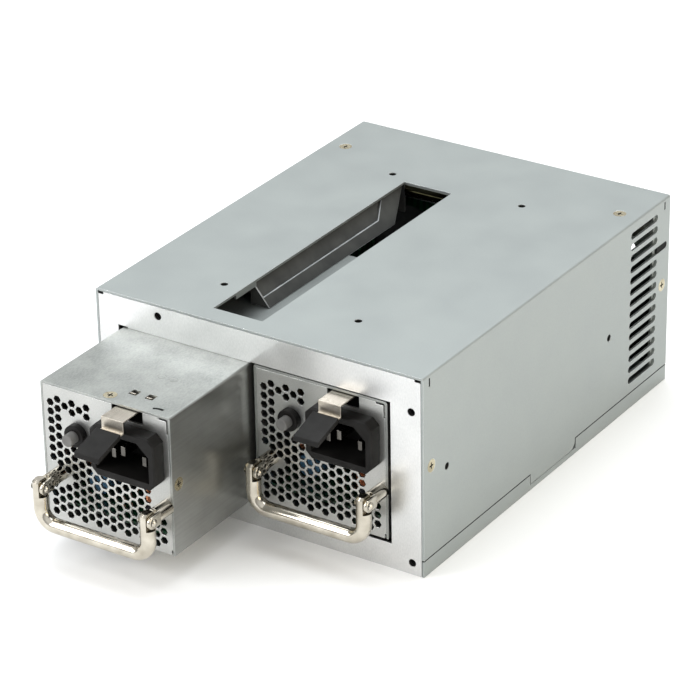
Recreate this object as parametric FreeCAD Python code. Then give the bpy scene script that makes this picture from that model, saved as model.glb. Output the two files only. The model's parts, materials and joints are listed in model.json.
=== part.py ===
import FreeCAD, Part
import math
import os

# Hot swap server power supply. A steel housing holds two identical supply modules
# side by side. Each module slides out of the front by its folding bail handle.
#
# Frame: the origin is the centre of the housing's underside, +X is to the right
# seen from the front, +Y is to the rear, +Z is up. Millimetres throughout.
# Housing pieces are drawn with y counted from the front face. Module pieces are
# drawn from the module's own lower left front corner, then set into their bay.

# ---- Housing sheet metal ----
REAR_SPACE = 39.0
TOP_SPACE = 11.3
SHEET = 1.0
SEAM = 0.15
BEND_RADIUS = 1.0
FLANGE_REACH = 12.0
CORNER_RELIEF = 2.5
CORNER_SLIT_WIDTH = 1.0
CORNER_SLIT_HEIGHT = 3.5
CORNER_SLIT_DROP = 0.5
CORNER_SLIT_INSET = 4.5

# ---- Modules and their bays ----
MODULE_WIDTH = 59.6
MODULE_HEIGHT = 58.2
MODULE_DEPTH = 150.0
MODULE_SHEET = 1.0
MODULE_UNDERSIDE = 12.0
LEFT_MARGIN = 12.05
RIGHT_MARGIN = 15.65
MODULE_GAP = 1.6
LEFT_MODULE_OUT = 52.0
SLIDE_CLEARANCE = 0.3
OPENING_SIDE_LEFT = 1.85
OPENING_SIDE_RIGHT = 1.3
OPENING_BELOW = 1.3
OPENING_ABOVE = 0.5
DECK_CLEARANCE = 1.5
DIVIDER_SHEET = 0.8
BAY_FLOOR_START = 8.0

# ---- Threaded holes for fixing the housing ----
FRONT_HOLE_RADIUS = 1.6
FRONT_HOLE_INSET = 5.25
FRONT_HOLE_RISE = 64.0
FRONT_HOLE_LOW = 5.0
FRONT_TOP_HOLE_INSET = 29.25
FRONT_TOP_HOLE_DROP = 5.0
COVER_HOLE_RADIUS = 1.5
TOP_HOLE_SPACING_X = 61.5
TOP_HOLE_SPACING_Y = 121.5
TOP_HOLE_CENTRE_X = -2.55
TOP_HOLE_FIRST_Y = 28.0
SIDE_HOLE_SPACING_Y = 124.0
SIDE_HOLE_FIRST_Y = 16.5
SIDE_HOLE_HEIGHT = 40.3
COLLAR_WALL = 0.9
COLLAR_LENGTH = 1.4

# ---- Countersunk screws ----
SCREW_HEAD_RADIUS = 2.7
SCREW_RADIUS = 1.45
SCREW_LENGTH = 4.5
SCREW_CLEARANCE = 0.05
RECESS_LENGTH = 2.6
RECESS_WIDTH = 0.6
RECESS_DEPTH = 0.7
SIDE_SCREW_INSET = 5.5
SIDE_SCREW_HEIGHT = 45.6
TOP_SCREW_SIDE_INSET = 8.75
TOP_SCREW_INSET = 26.6

# ---- Side flanges of the tray and the tab that hangs into them ----
TRAY_FLANGE_HEIGHT = 7.0
TRAY_SEAM = 0.3
TAB_START_Y = 79.0
TAB_END_Y = 114.0
TAB_DROP = 4.6
TAB_CORNER_RADIUS = 3.5

# ---- Side vents ----
VENT_COUNT = 14
VENT_PITCH = 5.0
VENT_FIRST_Z = 13.0
VENT_HEIGHT = 3.0
VENT_LENGTH = 22.4
VENT_INSET = 10.2
LONG_VENT_INDEX = 10
LONG_VENT_INSET = 2.0

# ---- Cable slot in the top and its black duct liner ----
SLOT_LEFT_X = -25.0
SLOT_RIGHT_X = -2.5
SLOT_START_Y = 8.9
SLOT_END_Y = 145.3
SLOT_LIP_DROP = 5.0
CLIP_START_Y = 24.0
CLIP_DROP = 1.8
LINER_SHEET = 0.8
LINER_START_Y = 37.9
LINER_FOOT_OUT = 5.9
LINER_FOOT_END_Y = 128.6
LINER_LEAN = 0.815
LINER_REAR_LEAN = 1.93
POCKET_HEIGHT = 4.05
POCKET_END_Y = 121.2
POCKET_END_LEAN = 1.69
POCKET_DEPTH = 1.2
DECK_WINDOW_START_Y = 94.5
DECK_WINDOW_INSET = 4.0
DECK_WINDOW_LEFT_X = -46.0
DECK_WINDOW_RIGHT_X = 4.0
DECK_END_GAP = 1.0
DECK_BRACKET_WIDTH = 11.0

# ---- Rear panel ----
REAR_HEX_FLATS = 6.0
REAR_HEX_PITCH = 7.2
REAR_VENT_MARGIN_X = 6.0
REAR_VENT_ABOVE_OUTLET = 6.0
REAR_VENT_BELOW_TOP = 6.0
OUTLET_WIDTH = 34.0
OUTLET_HEIGHT = 18.0
OUTLET_CORNER = 4.0
OUTLET_Z = 42.0
GROMMET_WALL = 2.0
GROMMET_LIP = 2.0
GROMMET_FIT = 0.1
REAR_TAB_WIDTH = 8.0
REAR_TAB_LEFT_INSET = 13.25
REAR_TAB_MIDDLE_X = -2.0
REAR_TAB_RIGHT_INSET = 14.25

# ---- Backplane ----
BOARD_THICKNESS = 1.6
BACKPLANE_SIDE_GAP = 6.25
BACKPLANE_LOW_Z = 9.0
BACKPLANE_HIGH_Z = 70.0
SOCKET_WIDTH = 46.0
SOCKET_HEIGHT = 9.0
SOCKET_DEPTH = 9.5
SOCKET_GAP = 1.5
SOCKET_FLOOR = 1.5
TONGUE_WIDTH = 40.0
TONGUE_FIT = 0.15
STANDOFF_RADIUS = 3.0
STANDOFF_INSET = 4.5
STANDOFF_SCREW_REACH = 5.0
HEADER_WIDTH = 12.0
HEADER_HEIGHT = 9.0
HEADER_DEPTH = 8.0
HEADER_COUNT = 3
HEADER_PITCH = 14.0
HEADER_Z = 22.0
SMALL_CAN_RADIUS = 4.0
SMALL_CAN_LENGTH = 9.5
SMALL_CAN_PITCH = 10.0
SMALL_CAN_Z = 62.0
BUZZER_RADIUS = 6.0
BUZZER_HEIGHT = 7.5
BUZZER_Z = 56.0

# ---- Module front panel: perforation ----
HEX_FLATS = 2.95
HEX_PITCH = 3.885
HEX_FIRST_X = 4.27
HEX_FIRST_Z = 3.4
HEX_RIGHT_MARGIN = 2.7
HEX_TOP_DROP = 5.0
BUTTON_BARE_LEFT = 7.1
BUTTON_BARE_RIGHT = 6.9
BUTTON_BARE_BELOW = 6.3
BUTTON_BARE_ABOVE = 7.4
INLET_HEX_MARGIN = 2.0
LEFT_POST_MARGIN = 4.1
RIGHT_POST_MARGIN = 6.5
PANEL_FLANGE = 9.0
PANEL_SEAM = 0.05
PANEL_RELIEF = 0.7
PANEL_RELIEF_ACROSS = 4.0
PANEL_RELIEF_DOWN = 6.0

# ---- Mains inlet ----
INLET_INSET = 18.1
INLET_DROP = 18.4
INLET_WIDTH = 29.5
INLET_HEIGHT = 21.8
INLET_PROUD = 6.3
INLET_CHAMFER = 2.8
INLET_EDGE = 0.6
INLET_BARREL_MARGIN = 1.4
INLET_BARREL_DEPTH = 13.0
INLET_FIT = 0.1
CAVITY_WIDTH = 24.3
CAVITY_HEIGHT = 15.5
CAVITY_DEPTH = 16.5
CAVITY_CHAMFER_X = 5.2
CAVITY_CHAMFER_Z = 4.6
PIN_WIDTH = 2.0
PIN_HEIGHT = 4.0
PIN_SPREAD = 7.0
PIN_ROW_DROP = 2.0
EARTH_PIN_RISE = 2.1
LINE_PIN_RECESS = 4.4
EARTH_PIN_RECESS = 1.0
PIN_TAIL = 7.0

# ---- Latch ----
LATCH_FROM_INLET = 1.3
LATCH_NOTCH_WIDTH = 14.1
LATCH_NOTCH_DROP = 5.1
LATCH_WIDTH = 9.8
LATCH_SHEET = 0.6
LATCH_HEADROOM = 0.35
LATCH_ROOT_Y = 21.0
LATCH_REACH = 9.3
LATCH_STEP_DROP = 5.4
LATCH_LEDGE = 3.4
TAB_LENGTH = 12.6
TAB_WIDTH = 11.3
TAB_THICKNESS = 2.1
TAB_SLOPE_DROP = 2.9
TAB_BOW = 0.4
TAB_GRIP = 1.2
TOOTH_SPREAD = 7.4
TOOTH_Y = 10.3
TOOTH_WIDTH = 2.4
TOOTH_LENGTH = 2.8
TOOTH_SLOT_MARGIN = 0.5
TOOTH_PROUD = 0.25
ANCHOR_LENGTH = 10.0
ANCHOR_GAP = 0.3
RIVET_RADIUS = 1.5

# ---- Push-button ----
BUTTON_FROM_INLET = 24.9
BEZEL_RADIUS = 4.5
BEZEL_PROUD = 3.0
BEZEL_BARREL_RADIUS = 3.9
BEZEL_BARREL_DEPTH = 9.0
PLUNGER_RADIUS = 2.45
PLUNGER_PROUD = 7.0
PLUNGER_FIT = 0.08
PLUNGER_COLLAR = 0.6
PLUNGER_COLLAR_LENGTH = 1.5
PLUNGER_TRAVEL = 1.5
BUTTON_BASE = 1.0
BEZEL_ROUND = 0.6
PLUNGER_ROUND = 0.5

# ---- Folding handle ----
HANDLE_LEFT_X = 7.2
HANDLE_RIGHT_INSET = 2.8
HANDLE_Z = 20.4
HANDLE_PIVOT_OUT = 12.5
HANDLE_ROD = 6.0
HANDLE_DROP = 14.9
HANDLE_BEND = 6.5
HANDLE_LEG_ABOVE = 3.7
HANDLE_LEG_BEVEL = 1.0
HANDLE_TONGUE = 2.0
HANDLE_TONGUE_RELIEF = 0.2
HANDLE_SIDE_CLEARANCE = 0.1
HANDLE_SLOT_BELOW = 3.3
HANDLE_SHOULDER = 4.6
HANDLE_PIN_RADIUS = 1.0
HANDLE_PIN_FIT = 0.05
HANDLE_PIN_HEAD = 1.6
HANDLE_PIN_HEAD_FACE = 1.0
HANDLE_PIN_HEAD_HEIGHT = 0.9
HANDLE_PIN_HEAD_GAP = 0.1
POST_STUD_RADIUS = 1.5
POST_STUD_LENGTH = 2.4
POST_SWAGE_RADIUS = 1.75
POST_SWAGE_LENGTH = 0.8
POST_FLANGE_GAP = 4.0

# ---- Fan ----
FAN_SIZE = 40.0
FAN_DEPTH = 28.0
FAN_Z = 34.5
FAN_BORE = 19.0
FAN_TIP_CLEARANCE = 0.7
FAN_HUB_RADIUS = 9.5
FAN_HUB_DEPTH = 19.0
FAN_BLADES = 7
FAN_BLADE_THICKNESS = 1.0
FAN_BLADE_PITCH = 42.0
FAN_SHAFT_RADIUS = 1.5
FAN_SHAFT_FIT = 0.05
FAN_STRUT_DEPTH = 3.0
FAN_STRUT_WIDTH = 3.0
FAN_FACE_GAP = 2.0
FAN_CORNER = 3.0
FAN_SCREW_INSET = 4.0
FAN_SCREW_HOLE = 1.8

# ---- Module interior ----
TRAY_LIP = 6.0
STANDOFF_HEIGHT = 4.0
BOSS_RADIUS = 2.5
BOSS_FIRST_Y = 40.0
BOSS_LAST_INSET = 20.0
BOARD_MARGIN = 3.0
BOARD_START = 4.0
TONGUE_LENGTH = 8.0
SINK_START = 58.0
SINK_FAN_GAP = 1.0
SINK_BASE = 2.0
SINK_HEIGHT = 30.0
SINK_FINS = 5
SINK_FIN_PITCH = 2.6
SINK_FIN_THICKNESS = 0.9
SINK_MARGIN = 3.5
CAN_RADIUS = 5.0
CAN_LENGTH = 36.0
CAN_START = 14.0
CAN_FROM_BUTTON = 2.3
CAN_ROUND = 1.0
TRANSFORMER_WIDTH = 22.0
TRANSFORMER_LENGTH = 26.0
TRANSFORMER_HEIGHT = 24.0
TRANSFORMER_START = 72.0
TRANSFORMER_LIMB = 4.0
BOBBIN_REACH = 2.0
COIL_RADIUS = 3.2
COIL_HEIGHT = 17.0
COIL_Y = 7.5
COIL_INSET = 15.6

# ---- Places worked out from the sizes above ----
HOUSING_DEPTH = MODULE_DEPTH + REAR_SPACE + SHEET
HOUSING_HEIGHT = MODULE_UNDERSIDE + MODULE_HEIGHT + DECK_CLEARANCE + SHEET + TOP_SPACE
FRONT_Y = -HOUSING_DEPTH / 2
HOUSING_WIDTH = LEFT_MARGIN + 2 * MODULE_WIDTH + MODULE_GAP + RIGHT_MARGIN
HALF_WIDTH = HOUSING_WIDTH / 2
INNER_HALF = HALF_WIDTH - SHEET
COVER_UNDERSIDE = HOUSING_HEIGHT - SHEET
LEFT_MODULE_X = -HALF_WIDTH + LEFT_MARGIN
RIGHT_MODULE_X = LEFT_MODULE_X + MODULE_WIDTH + MODULE_GAP
MODULE_TOP = MODULE_UNDERSIDE + MODULE_HEIGHT
OPENING_LEFT = LEFT_MODULE_X - OPENING_SIDE_LEFT
OPENING_RIGHT = RIGHT_MODULE_X + MODULE_WIDTH + OPENING_SIDE_RIGHT
OPENING_LOW = MODULE_UNDERSIDE - OPENING_BELOW
OPENING_HIGH = MODULE_TOP + OPENING_ABOVE
BAY_FLOOR_TOP = MODULE_UNDERSIDE - SLIDE_CLEARANCE
DECK_UNDERSIDE = MODULE_TOP + DECK_CLEARANCE
DECK_TOP = DECK_UNDERSIDE + SHEET
BOARD_LOW = MODULE_SHEET + STANDOFF_HEIGHT
BOARD_TOP = BOARD_LOW + BOARD_THICKNESS
SOCKET_FACE_Y = MODULE_DEPTH + SOCKET_GAP
BACKPLANE_Y = SOCKET_FACE_Y + SOCKET_DEPTH
BACKPLANE_REAR_Y = BACKPLANE_Y + BOARD_THICKNESS
DECK_END_Y = BACKPLANE_Y - DECK_END_GAP
DECK_WINDOW_END_Y = DECK_END_Y - DECK_WINDOW_INSET
BACKPLANE_WIDTH = 2 * (INNER_HALF - BACKPLANE_SIDE_GAP)
REAR_INNER_Y = HOUSING_DEPTH - SHEET
TOP_SCREW_X = HALF_WIDTH - TOP_SCREW_SIDE_INSET
TOP_SCREW_Y = HOUSING_DEPTH - TOP_SCREW_INSET
REAR_TAB_X = (-HALF_WIDTH + REAR_TAB_LEFT_INSET, REAR_TAB_MIDDLE_X, HALF_WIDTH - REAR_TAB_RIGHT_INSET)
TONGUE_Z = MODULE_UNDERSIDE + BOARD_LOW + BOARD_THICKNESS / 2
PANEL_TOP = MODULE_HEIGHT - MODULE_SHEET - PANEL_SEAM
PANEL_LEFT = MODULE_SHEET + PANEL_SEAM
PANEL_RIGHT = MODULE_WIDTH - MODULE_SHEET - PANEL_SEAM
LATCH_TOP = MODULE_HEIGHT - MODULE_SHEET - LATCH_HEADROOM
HEX_COLUMNS = int((PANEL_RIGHT - HEX_RIGHT_MARGIN - HEX_FIRST_X) / (HEX_PITCH * math.sqrt(3) / 2)) + 1
HEX_TOP_LIMIT = MODULE_HEIGHT - HEX_TOP_DROP
HEX_ROWS = int((HEX_TOP_LIMIT - HEX_FIRST_Z) / HEX_PITCH) + 1
INLET_X = MODULE_WIDTH - INLET_INSET
INLET_Z = MODULE_HEIGHT - INLET_DROP
LATCH_X = INLET_X - LATCH_FROM_INLET
BUTTON_X = INLET_X - BUTTON_FROM_INLET
BUTTON_Z = INLET_Z
HANDLE_SPAN = MODULE_WIDTH - HANDLE_LEFT_X - HANDLE_RIGHT_INSET
CAN_X = BUTTON_X - CAN_FROM_BUTTON
COIL_X = MODULE_WIDTH - COIL_INSET
FAN_X = MODULE_WIDTH / 2
FAN_END = MODULE_DEPTH - MODULE_SHEET
MODULE_PLACES = {
    "left": (LEFT_MODULE_X, FRONT_Y - LEFT_MODULE_OUT),
    "right": (RIGHT_MODULE_X, FRONT_Y),
}

TOUCH = 0.01
X_AXIS = FreeCAD.Vector(1, 0, 0)
Y_AXIS = FreeCAD.Vector(0, 1, 0)
Z_AXIS = FreeCAD.Vector(0, 0, 1)


# ---- Shape helpers ----
def vector(x, y, z):
    return FreeCAD.Vector(x, y, z)


def box(x0, x1, y0, y1, z0, z1):
    return Part.makeBox(x1 - x0, y1 - y0, z1 - z0, vector(x0, y0, z0))


def rod(start, axis, length, radius):
    return Part.makeCylinder(radius, length, start, axis)


def prism(points, sweep):
    """A solid from a flat outline of corner points, swept along a vector."""
    outline = Part.makePolygon(points + [points[0]])
    return Part.Face(outline).extrude(sweep)


def outline_y(points, y0, y1):
    """A solid from (x, z) corners, from y0 back to y1."""
    return prism([vector(x, y0, z) for x, z in points], vector(0, y1 - y0, 0))


def outline_x(points, x0, x1):
    """A solid from (y, z) corners, from x0 across to x1."""
    return prism([vector(x0, y, z) for y, z in points], vector(x1 - x0, 0, 0))


def hexagon(x, z, flats, y0, y1):
    """A hexagonal prism along Y with flats at its top and bottom."""
    reach = flats / math.sqrt(3)
    corners = []
    for i in range(6):
        turn = math.radians(60 * i)
        corners.append((x + reach * math.cos(turn), z + reach * math.sin(turn)))
    return outline_y(corners, y0, y1)


def hexagon_field(x0, z0, pitch, flats, columns, rows, keep, y0, y1):
    """Hexagons on a close-packed lattice, where keep(x, z) says which stay."""
    step = pitch * math.sqrt(3) / 2
    cutters = []
    for column in range(columns):
        for row in range(rows):
            x = x0 + column * step
            z = z0 + (row + 0.5 * (column % 2)) * pitch
            if keep(x, z):
                cutters.append(hexagon(x, z, flats, y0, y1))
    return cutters


def stadium_x(y0, y1, z, height, x0, x1):
    """A round-ended slot cutter through a side wall."""
    r = height / 2
    middle = box(x0, x1, y0 + r, y1 - r, z - r, z + r)
    front = rod(vector(x0, y0 + r, z), X_AXIS, x1 - x0, r)
    back = rod(vector(x0, y1 - r, z), X_AXIS, x1 - x0, r)
    return middle.fuse([front, back])


def edges_at(shape, y=None, z=None):
    """The edges whose middle lies at a given y, a given z, or both."""
    found = []
    for edge in shape.Edges:
        middle = edge.CenterOfMass
        if y is not None and abs(middle.y - y) > TOUCH:
            continue
        if z is not None and abs(middle.z - z) > TOUCH:
            continue
        found.append(edge)
    return found


def rounded_block(x0, x1, y0, y1, z0, z1, radius):
    """A block whose four edges along Y are rounded."""
    block = box(x0, x1, y0, y1, z0, z1)
    edges = [e for e in block.Edges if abs(e.tangentAt(e.FirstParameter).y) > 0.5]
    return block.makeFillet(radius, edges)


def threaded_hole(sheet, surface, inward, radius, stock):
    """Adds the drawn collar behind a sheet and cuts the hole through both."""
    collar = rod(surface, inward, stock + COLLAR_LENGTH, radius + COLLAR_WALL)
    bore = rod(surface, inward, stock + COLLAR_LENGTH, radius)
    return sheet.fuse(collar).cut(bore)


def screw_seat(surface, inward, stock):
    """The countersink that a screw head fills in one sheet."""
    top = SCREW_HEAD_RADIUS + SCREW_CLEARANCE
    low = SCREW_RADIUS + SCREW_CLEARANCE
    return Part.makeCone(top, low, stock, surface, inward)


def screw_bore(surface, inward):
    """The hole for a screw's shank, as deep as the screw is long."""
    return rod(surface, inward, SCREW_LENGTH + SHEET, SCREW_RADIUS + SCREW_CLEARANCE)


def screw(surface, inward, stock):
    """A countersunk screw with a cross recess, its head flush with the surface."""
    head = Part.makeCone(SCREW_HEAD_RADIUS, SCREW_RADIUS, stock, surface, inward)
    shank = rod(surface, inward, SCREW_LENGTH, SCREW_RADIUS)
    side = X_AXIS if abs(inward.x) < 0.5 else Y_AXIS
    cross = inward.cross(side)
    cutters = []
    for along, over in ((side, cross), (cross, side)):
        corner = surface - along * (RECESS_LENGTH / 2) - over * (RECESS_WIDTH / 2)
        corners = [
            corner,
            corner + along * RECESS_LENGTH,
            corner + along * RECESS_LENGTH + over * RECESS_WIDTH,
            corner + over * RECESS_WIDTH,
        ]
        cutters.append(prism(corners, inward * RECESS_DEPTH))
    return head.fuse(shank).cut(cutters)


# ---- Where the housing's screws and holes are ----
def side_screw_places():
    """Surface point and inward direction of the four screws in the cover's sides."""
    places = []
    for side in (-1, 1):
        for y in (SIDE_SCREW_INSET, HOUSING_DEPTH - SIDE_SCREW_INSET):
            surface = vector(side * HALF_WIDTH, y, SIDE_SCREW_HEIGHT)
            places.append((surface, X_AXIS * -side))
    return places


def top_screw_places():
    places = []
    for side in (-1, 1):
        surface = vector(side * TOP_SCREW_X, TOP_SCREW_Y, HOUSING_HEIGHT)
        places.append((surface, Z_AXIS * -1))
    return places


def top_hole_places():
    places = []
    for i in (-0.5, 0.5):
        for j in (0, 1):
            x = TOP_HOLE_CENTRE_X + i * TOP_HOLE_SPACING_X
            y = TOP_HOLE_FIRST_Y + j * TOP_HOLE_SPACING_Y
            places.append(vector(x, y, HOUSING_HEIGHT))
    return places


def front_hole_places():
    half = HALF_WIDTH - FRONT_HOLE_INSET
    return [
        vector(-half, 0, FRONT_HOLE_LOW),
        vector(half, 0, FRONT_HOLE_LOW),
        vector(half, 0, FRONT_HOLE_LOW + FRONT_HOLE_RISE),
        vector(-HALF_WIDTH + FRONT_TOP_HOLE_INSET, 0, HOUSING_HEIGHT - FRONT_TOP_HOLE_DROP),
    ]


# ---- Housing pieces ----
def base_tray():
    """The floor sheet with a low flange up each side, notched for the cover's tabs."""
    tray = box(-INNER_HALF, INNER_HALF, SHEET, REAR_INNER_Y, 0, SHEET)
    for x in (-HALF_WIDTH, INNER_HALF):
        flange = box(x, x + SHEET, 0, HOUSING_DEPTH, 0, TRAY_FLANGE_HEIGHT)
        low = TRAY_FLANGE_HEIGHT - TAB_DROP
        notch = box(x, x + SHEET, TAB_START_Y - TRAY_SEAM, TAB_END_Y + TRAY_SEAM,
                    low, TRAY_FLANGE_HEIGHT)
        tray = tray.fuse(flange.cut(notch))
    return tray.removeSplitter()


def cover_tab(x):
    """The tab that hangs from the cover's side, square in front and round behind."""
    top = TRAY_FLANGE_HEIGHT + TRAY_SEAM
    low = top - TAB_DROP
    plate = box(x, x + SHEET, TAB_START_Y, TAB_END_Y, low, top)
    return plate.makeFillet(TAB_CORNER_RADIUS, edges_at(plate, TAB_END_Y, low))


def side_vents(x):
    cutters = []
    for i in range(VENT_COUNT):
        inset = LONG_VENT_INSET if i == LONG_VENT_INDEX else VENT_INSET
        start = HOUSING_DEPTH - VENT_INSET - VENT_LENGTH
        z = VENT_FIRST_Z + i * VENT_PITCH
        cutters.append(stadium_x(start, HOUSING_DEPTH - inset, z, VENT_HEIGHT, x, x + SHEET))
    return cutters


def corner_slits(x):
    """The short relief slits beside the cover's two end corners."""
    cutters = []
    half = CORNER_SLIT_WIDTH / 2
    top = COVER_UNDERSIDE - CORNER_SLIT_DROP
    for y in (CORNER_SLIT_INSET, HOUSING_DEPTH - CORNER_SLIT_INSET):
        cutters.append(box(x, x + SHEET, y - half, y + half, top - CORNER_SLIT_HEIGHT, top))
    return cutters


def top_cover():
    """The top and both sides as one bent sheet, with the cable slot and the vents."""
    body = box(-HALF_WIDTH, HALF_WIDTH, 0, HOUSING_DEPTH,
               TRAY_FLANGE_HEIGHT + TRAY_SEAM, HOUSING_HEIGHT)
    body = body.makeFillet(BEND_RADIUS, edges_at(body, HOUSING_DEPTH / 2, HOUSING_HEIGHT))
    body = body.cut(box(-INNER_HALF, INNER_HALF, 0, HOUSING_DEPTH, 0, COVER_UNDERSIDE))
    slot = box(SLOT_LEFT_X, SLOT_RIGHT_X, SLOT_START_Y, SLOT_END_Y,
               COVER_UNDERSIDE, HOUSING_HEIGHT)
    lip = box(SLOT_LEFT_X, SLOT_RIGHT_X, SLOT_END_Y, SLOT_END_Y + SHEET,
              COVER_UNDERSIDE - SLOT_LIP_DROP, COVER_UNDERSIDE)
    clip = box(SLOT_LEFT_X - SHEET, SLOT_LEFT_X, CLIP_START_Y, LINER_START_Y - SEAM,
               COVER_UNDERSIDE - CLIP_DROP, COVER_UNDERSIDE)
    cutters = [slot]
    for x in REAR_TAB_X:
        cutters.append(box(x - REAR_TAB_WIDTH / 2, x + REAR_TAB_WIDTH / 2,
                           REAR_INNER_Y - SEAM, HOUSING_DEPTH, COVER_UNDERSIDE, HOUSING_HEIGHT))
    for x in (-HALF_WIDTH, INNER_HALF):
        cutters += side_vents(x) + corner_slits(x)
    for surface, inward in side_screw_places() + top_screw_places():
        cutters.append(screw_seat(surface, inward, SHEET))
    tabs = [cover_tab(-HALF_WIDTH), cover_tab(INNER_HALF)]
    cover = body.fuse([lip, clip] + tabs).cut(cutters)
    for surface in top_hole_places():
        cover = threaded_hole(cover, surface, Z_AXIS * -1, COVER_HOLE_RADIUS, SHEET)
    for side in (-1, 1):
        for y in (SIDE_HOLE_FIRST_Y, SIDE_HOLE_FIRST_Y + SIDE_HOLE_SPACING_Y):
            surface = vector(side * HALF_WIDTH, y, SIDE_HOLE_HEIGHT)
            cover = threaded_hole(cover, surface, X_AXIS * -side, COVER_HOLE_RADIUS, SHEET)
    return cover.removeSplitter()


def end_flanges(y0, y1):
    """The flanges that an end panel turns along the cover's sides."""
    outer = INNER_HALF - SEAM
    low = TRAY_FLANGE_HEIGHT + 2 * SHEET
    high = COVER_UNDERSIDE - 2 * SHEET
    left = box(-outer, -outer + SHEET, y0, y1, low, high)
    right = box(outer - SHEET, outer, y0, y1, low, high)
    return [left, right]


def front_plate():
    """The front wall with one wide opening for both modules and the fixing holes."""
    outer = INNER_HALF - SEAM
    high = COVER_UNDERSIDE - SEAM
    plate = box(-outer, outer, 0, SHEET, 0, high)
    foot = box(OPENING_LEFT, OPENING_RIGHT, 0, BAY_FLOOR_START, SHEET, 2 * SHEET)
    opening = box(OPENING_LEFT, OPENING_RIGHT, 0, SHEET, OPENING_LOW, OPENING_HIGH)
    reliefs = [box(-outer, -outer + CORNER_RELIEF, 0, SHEET, high - SHEET, high),
               box(outer - CORNER_RELIEF, outer, 0, SHEET, high - SHEET, high)]
    flanges = end_flanges(0, FLANGE_REACH)
    plate = plate.fuse(flanges + [foot]).cut([opening] + reliefs)
    for surface in front_hole_places():
        plate = threaded_hole(plate, surface, Y_AXIS, FRONT_HOLE_RADIUS, SHEET)
    bores = [screw_bore(s, i) for s, i in side_screw_places()]
    return plate.cut(bores).removeSplitter()


def rear_panel():
    """The rear wall: one opening for the output leads and open hexagons above it."""
    outer = INNER_HALF - SEAM
    high = COVER_UNDERSIDE - SEAM
    panel = box(-outer, outer, REAR_INNER_Y, HOUSING_DEPTH, 0, high)
    tabs = []
    for x in REAR_TAB_X:
        half = REAR_TAB_WIDTH / 2 - SEAM
        tabs.append(box(x - half, x + half, REAR_INNER_Y, HOUSING_DEPTH, high, HOUSING_HEIGHT))
    flanges = end_flanges(HOUSING_DEPTH - FLANGE_REACH, HOUSING_DEPTH)
    panel = panel.fuse(flanges + tabs)
    posts = standoff_places()
    vent_low = OUTLET_Z + OUTLET_HEIGHT / 2 + REAR_VENT_ABOVE_OUTLET
    vent_high = HOUSING_HEIGHT - REAR_VENT_BELOW_TOP

    def keep(x, z):
        if abs(x) > outer - REAR_VENT_MARGIN_X or z > vent_high:
            return False
        return all(math.hypot(x - px, z - pz) > STANDOFF_RADIUS + REAR_HEX_FLATS / 2 + SHEET
                   for px, pz in posts)

    step = REAR_HEX_PITCH * math.sqrt(3) / 2
    side_columns = int(outer / step)
    rows = int((vent_high - vent_low) / REAR_HEX_PITCH) + 1
    cutters = hexagon_field(-side_columns * step, vent_low, REAR_HEX_PITCH, REAR_HEX_FLATS,
                            2 * side_columns + 1, rows, keep, REAR_INNER_Y, HOUSING_DEPTH)
    cutters.append(outlet_block(0, REAR_INNER_Y, HOUSING_DEPTH))
    cutters += [screw_bore(s, i) for s, i in side_screw_places()]
    return panel.cut(cutters).removeSplitter()


def outlet_block(grow, y0, y1):
    """The rounded shape of the output opening, larger all round by grow."""
    half_x = OUTLET_WIDTH / 2 + grow
    half_z = OUTLET_HEIGHT / 2 + grow
    return rounded_block(-half_x, half_x, y0, y1, OUTLET_Z - half_z, OUTLET_Z + half_z,
                         OUTLET_CORNER + grow)


def outlet_grommet():
    """The soft black ring that lines the edge of the output opening."""
    barrel = outlet_block(-GROMMET_FIT, REAR_INNER_Y - SHEET, HOUSING_DEPTH)
    lip = outlet_block(GROMMET_LIP, REAR_INNER_Y - 2 * SHEET, REAR_INNER_Y - GROMMET_FIT)
    hole = outlet_block(-GROMMET_WALL, REAR_INNER_Y - 2 * SHEET, HOUSING_DEPTH)
    return barrel.fuse(lip).cut(hole).removeSplitter()


def bay_floor():
    """The raised shelf that the modules slide on, standing on the floor sheet."""
    end = MODULE_DEPTH - SOCKET_GAP
    top = box(OPENING_LEFT, OPENING_RIGHT, BAY_FLOOR_START, end,
              BAY_FLOOR_TOP - SHEET, BAY_FLOOR_TOP)
    left = box(OPENING_LEFT, OPENING_LEFT + SHEET, BAY_FLOOR_START, end, SHEET, BAY_FLOOR_TOP)
    right = box(OPENING_RIGHT - SHEET, OPENING_RIGHT, BAY_FLOOR_START, end, SHEET, BAY_FLOOR_TOP)
    return top.fuse([left, right]).removeSplitter()


def bay_divider():
    """The upright sheet between the two modules, from shelf to deck."""
    middle = RIGHT_MODULE_X - MODULE_GAP / 2
    return box(middle - DIVIDER_SHEET / 2, middle + DIVIDER_SHEET / 2,
               BAY_FLOOR_START, MODULE_DEPTH - SOCKET_GAP, BAY_FLOOR_TOP, DECK_UNDERSIDE)


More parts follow.
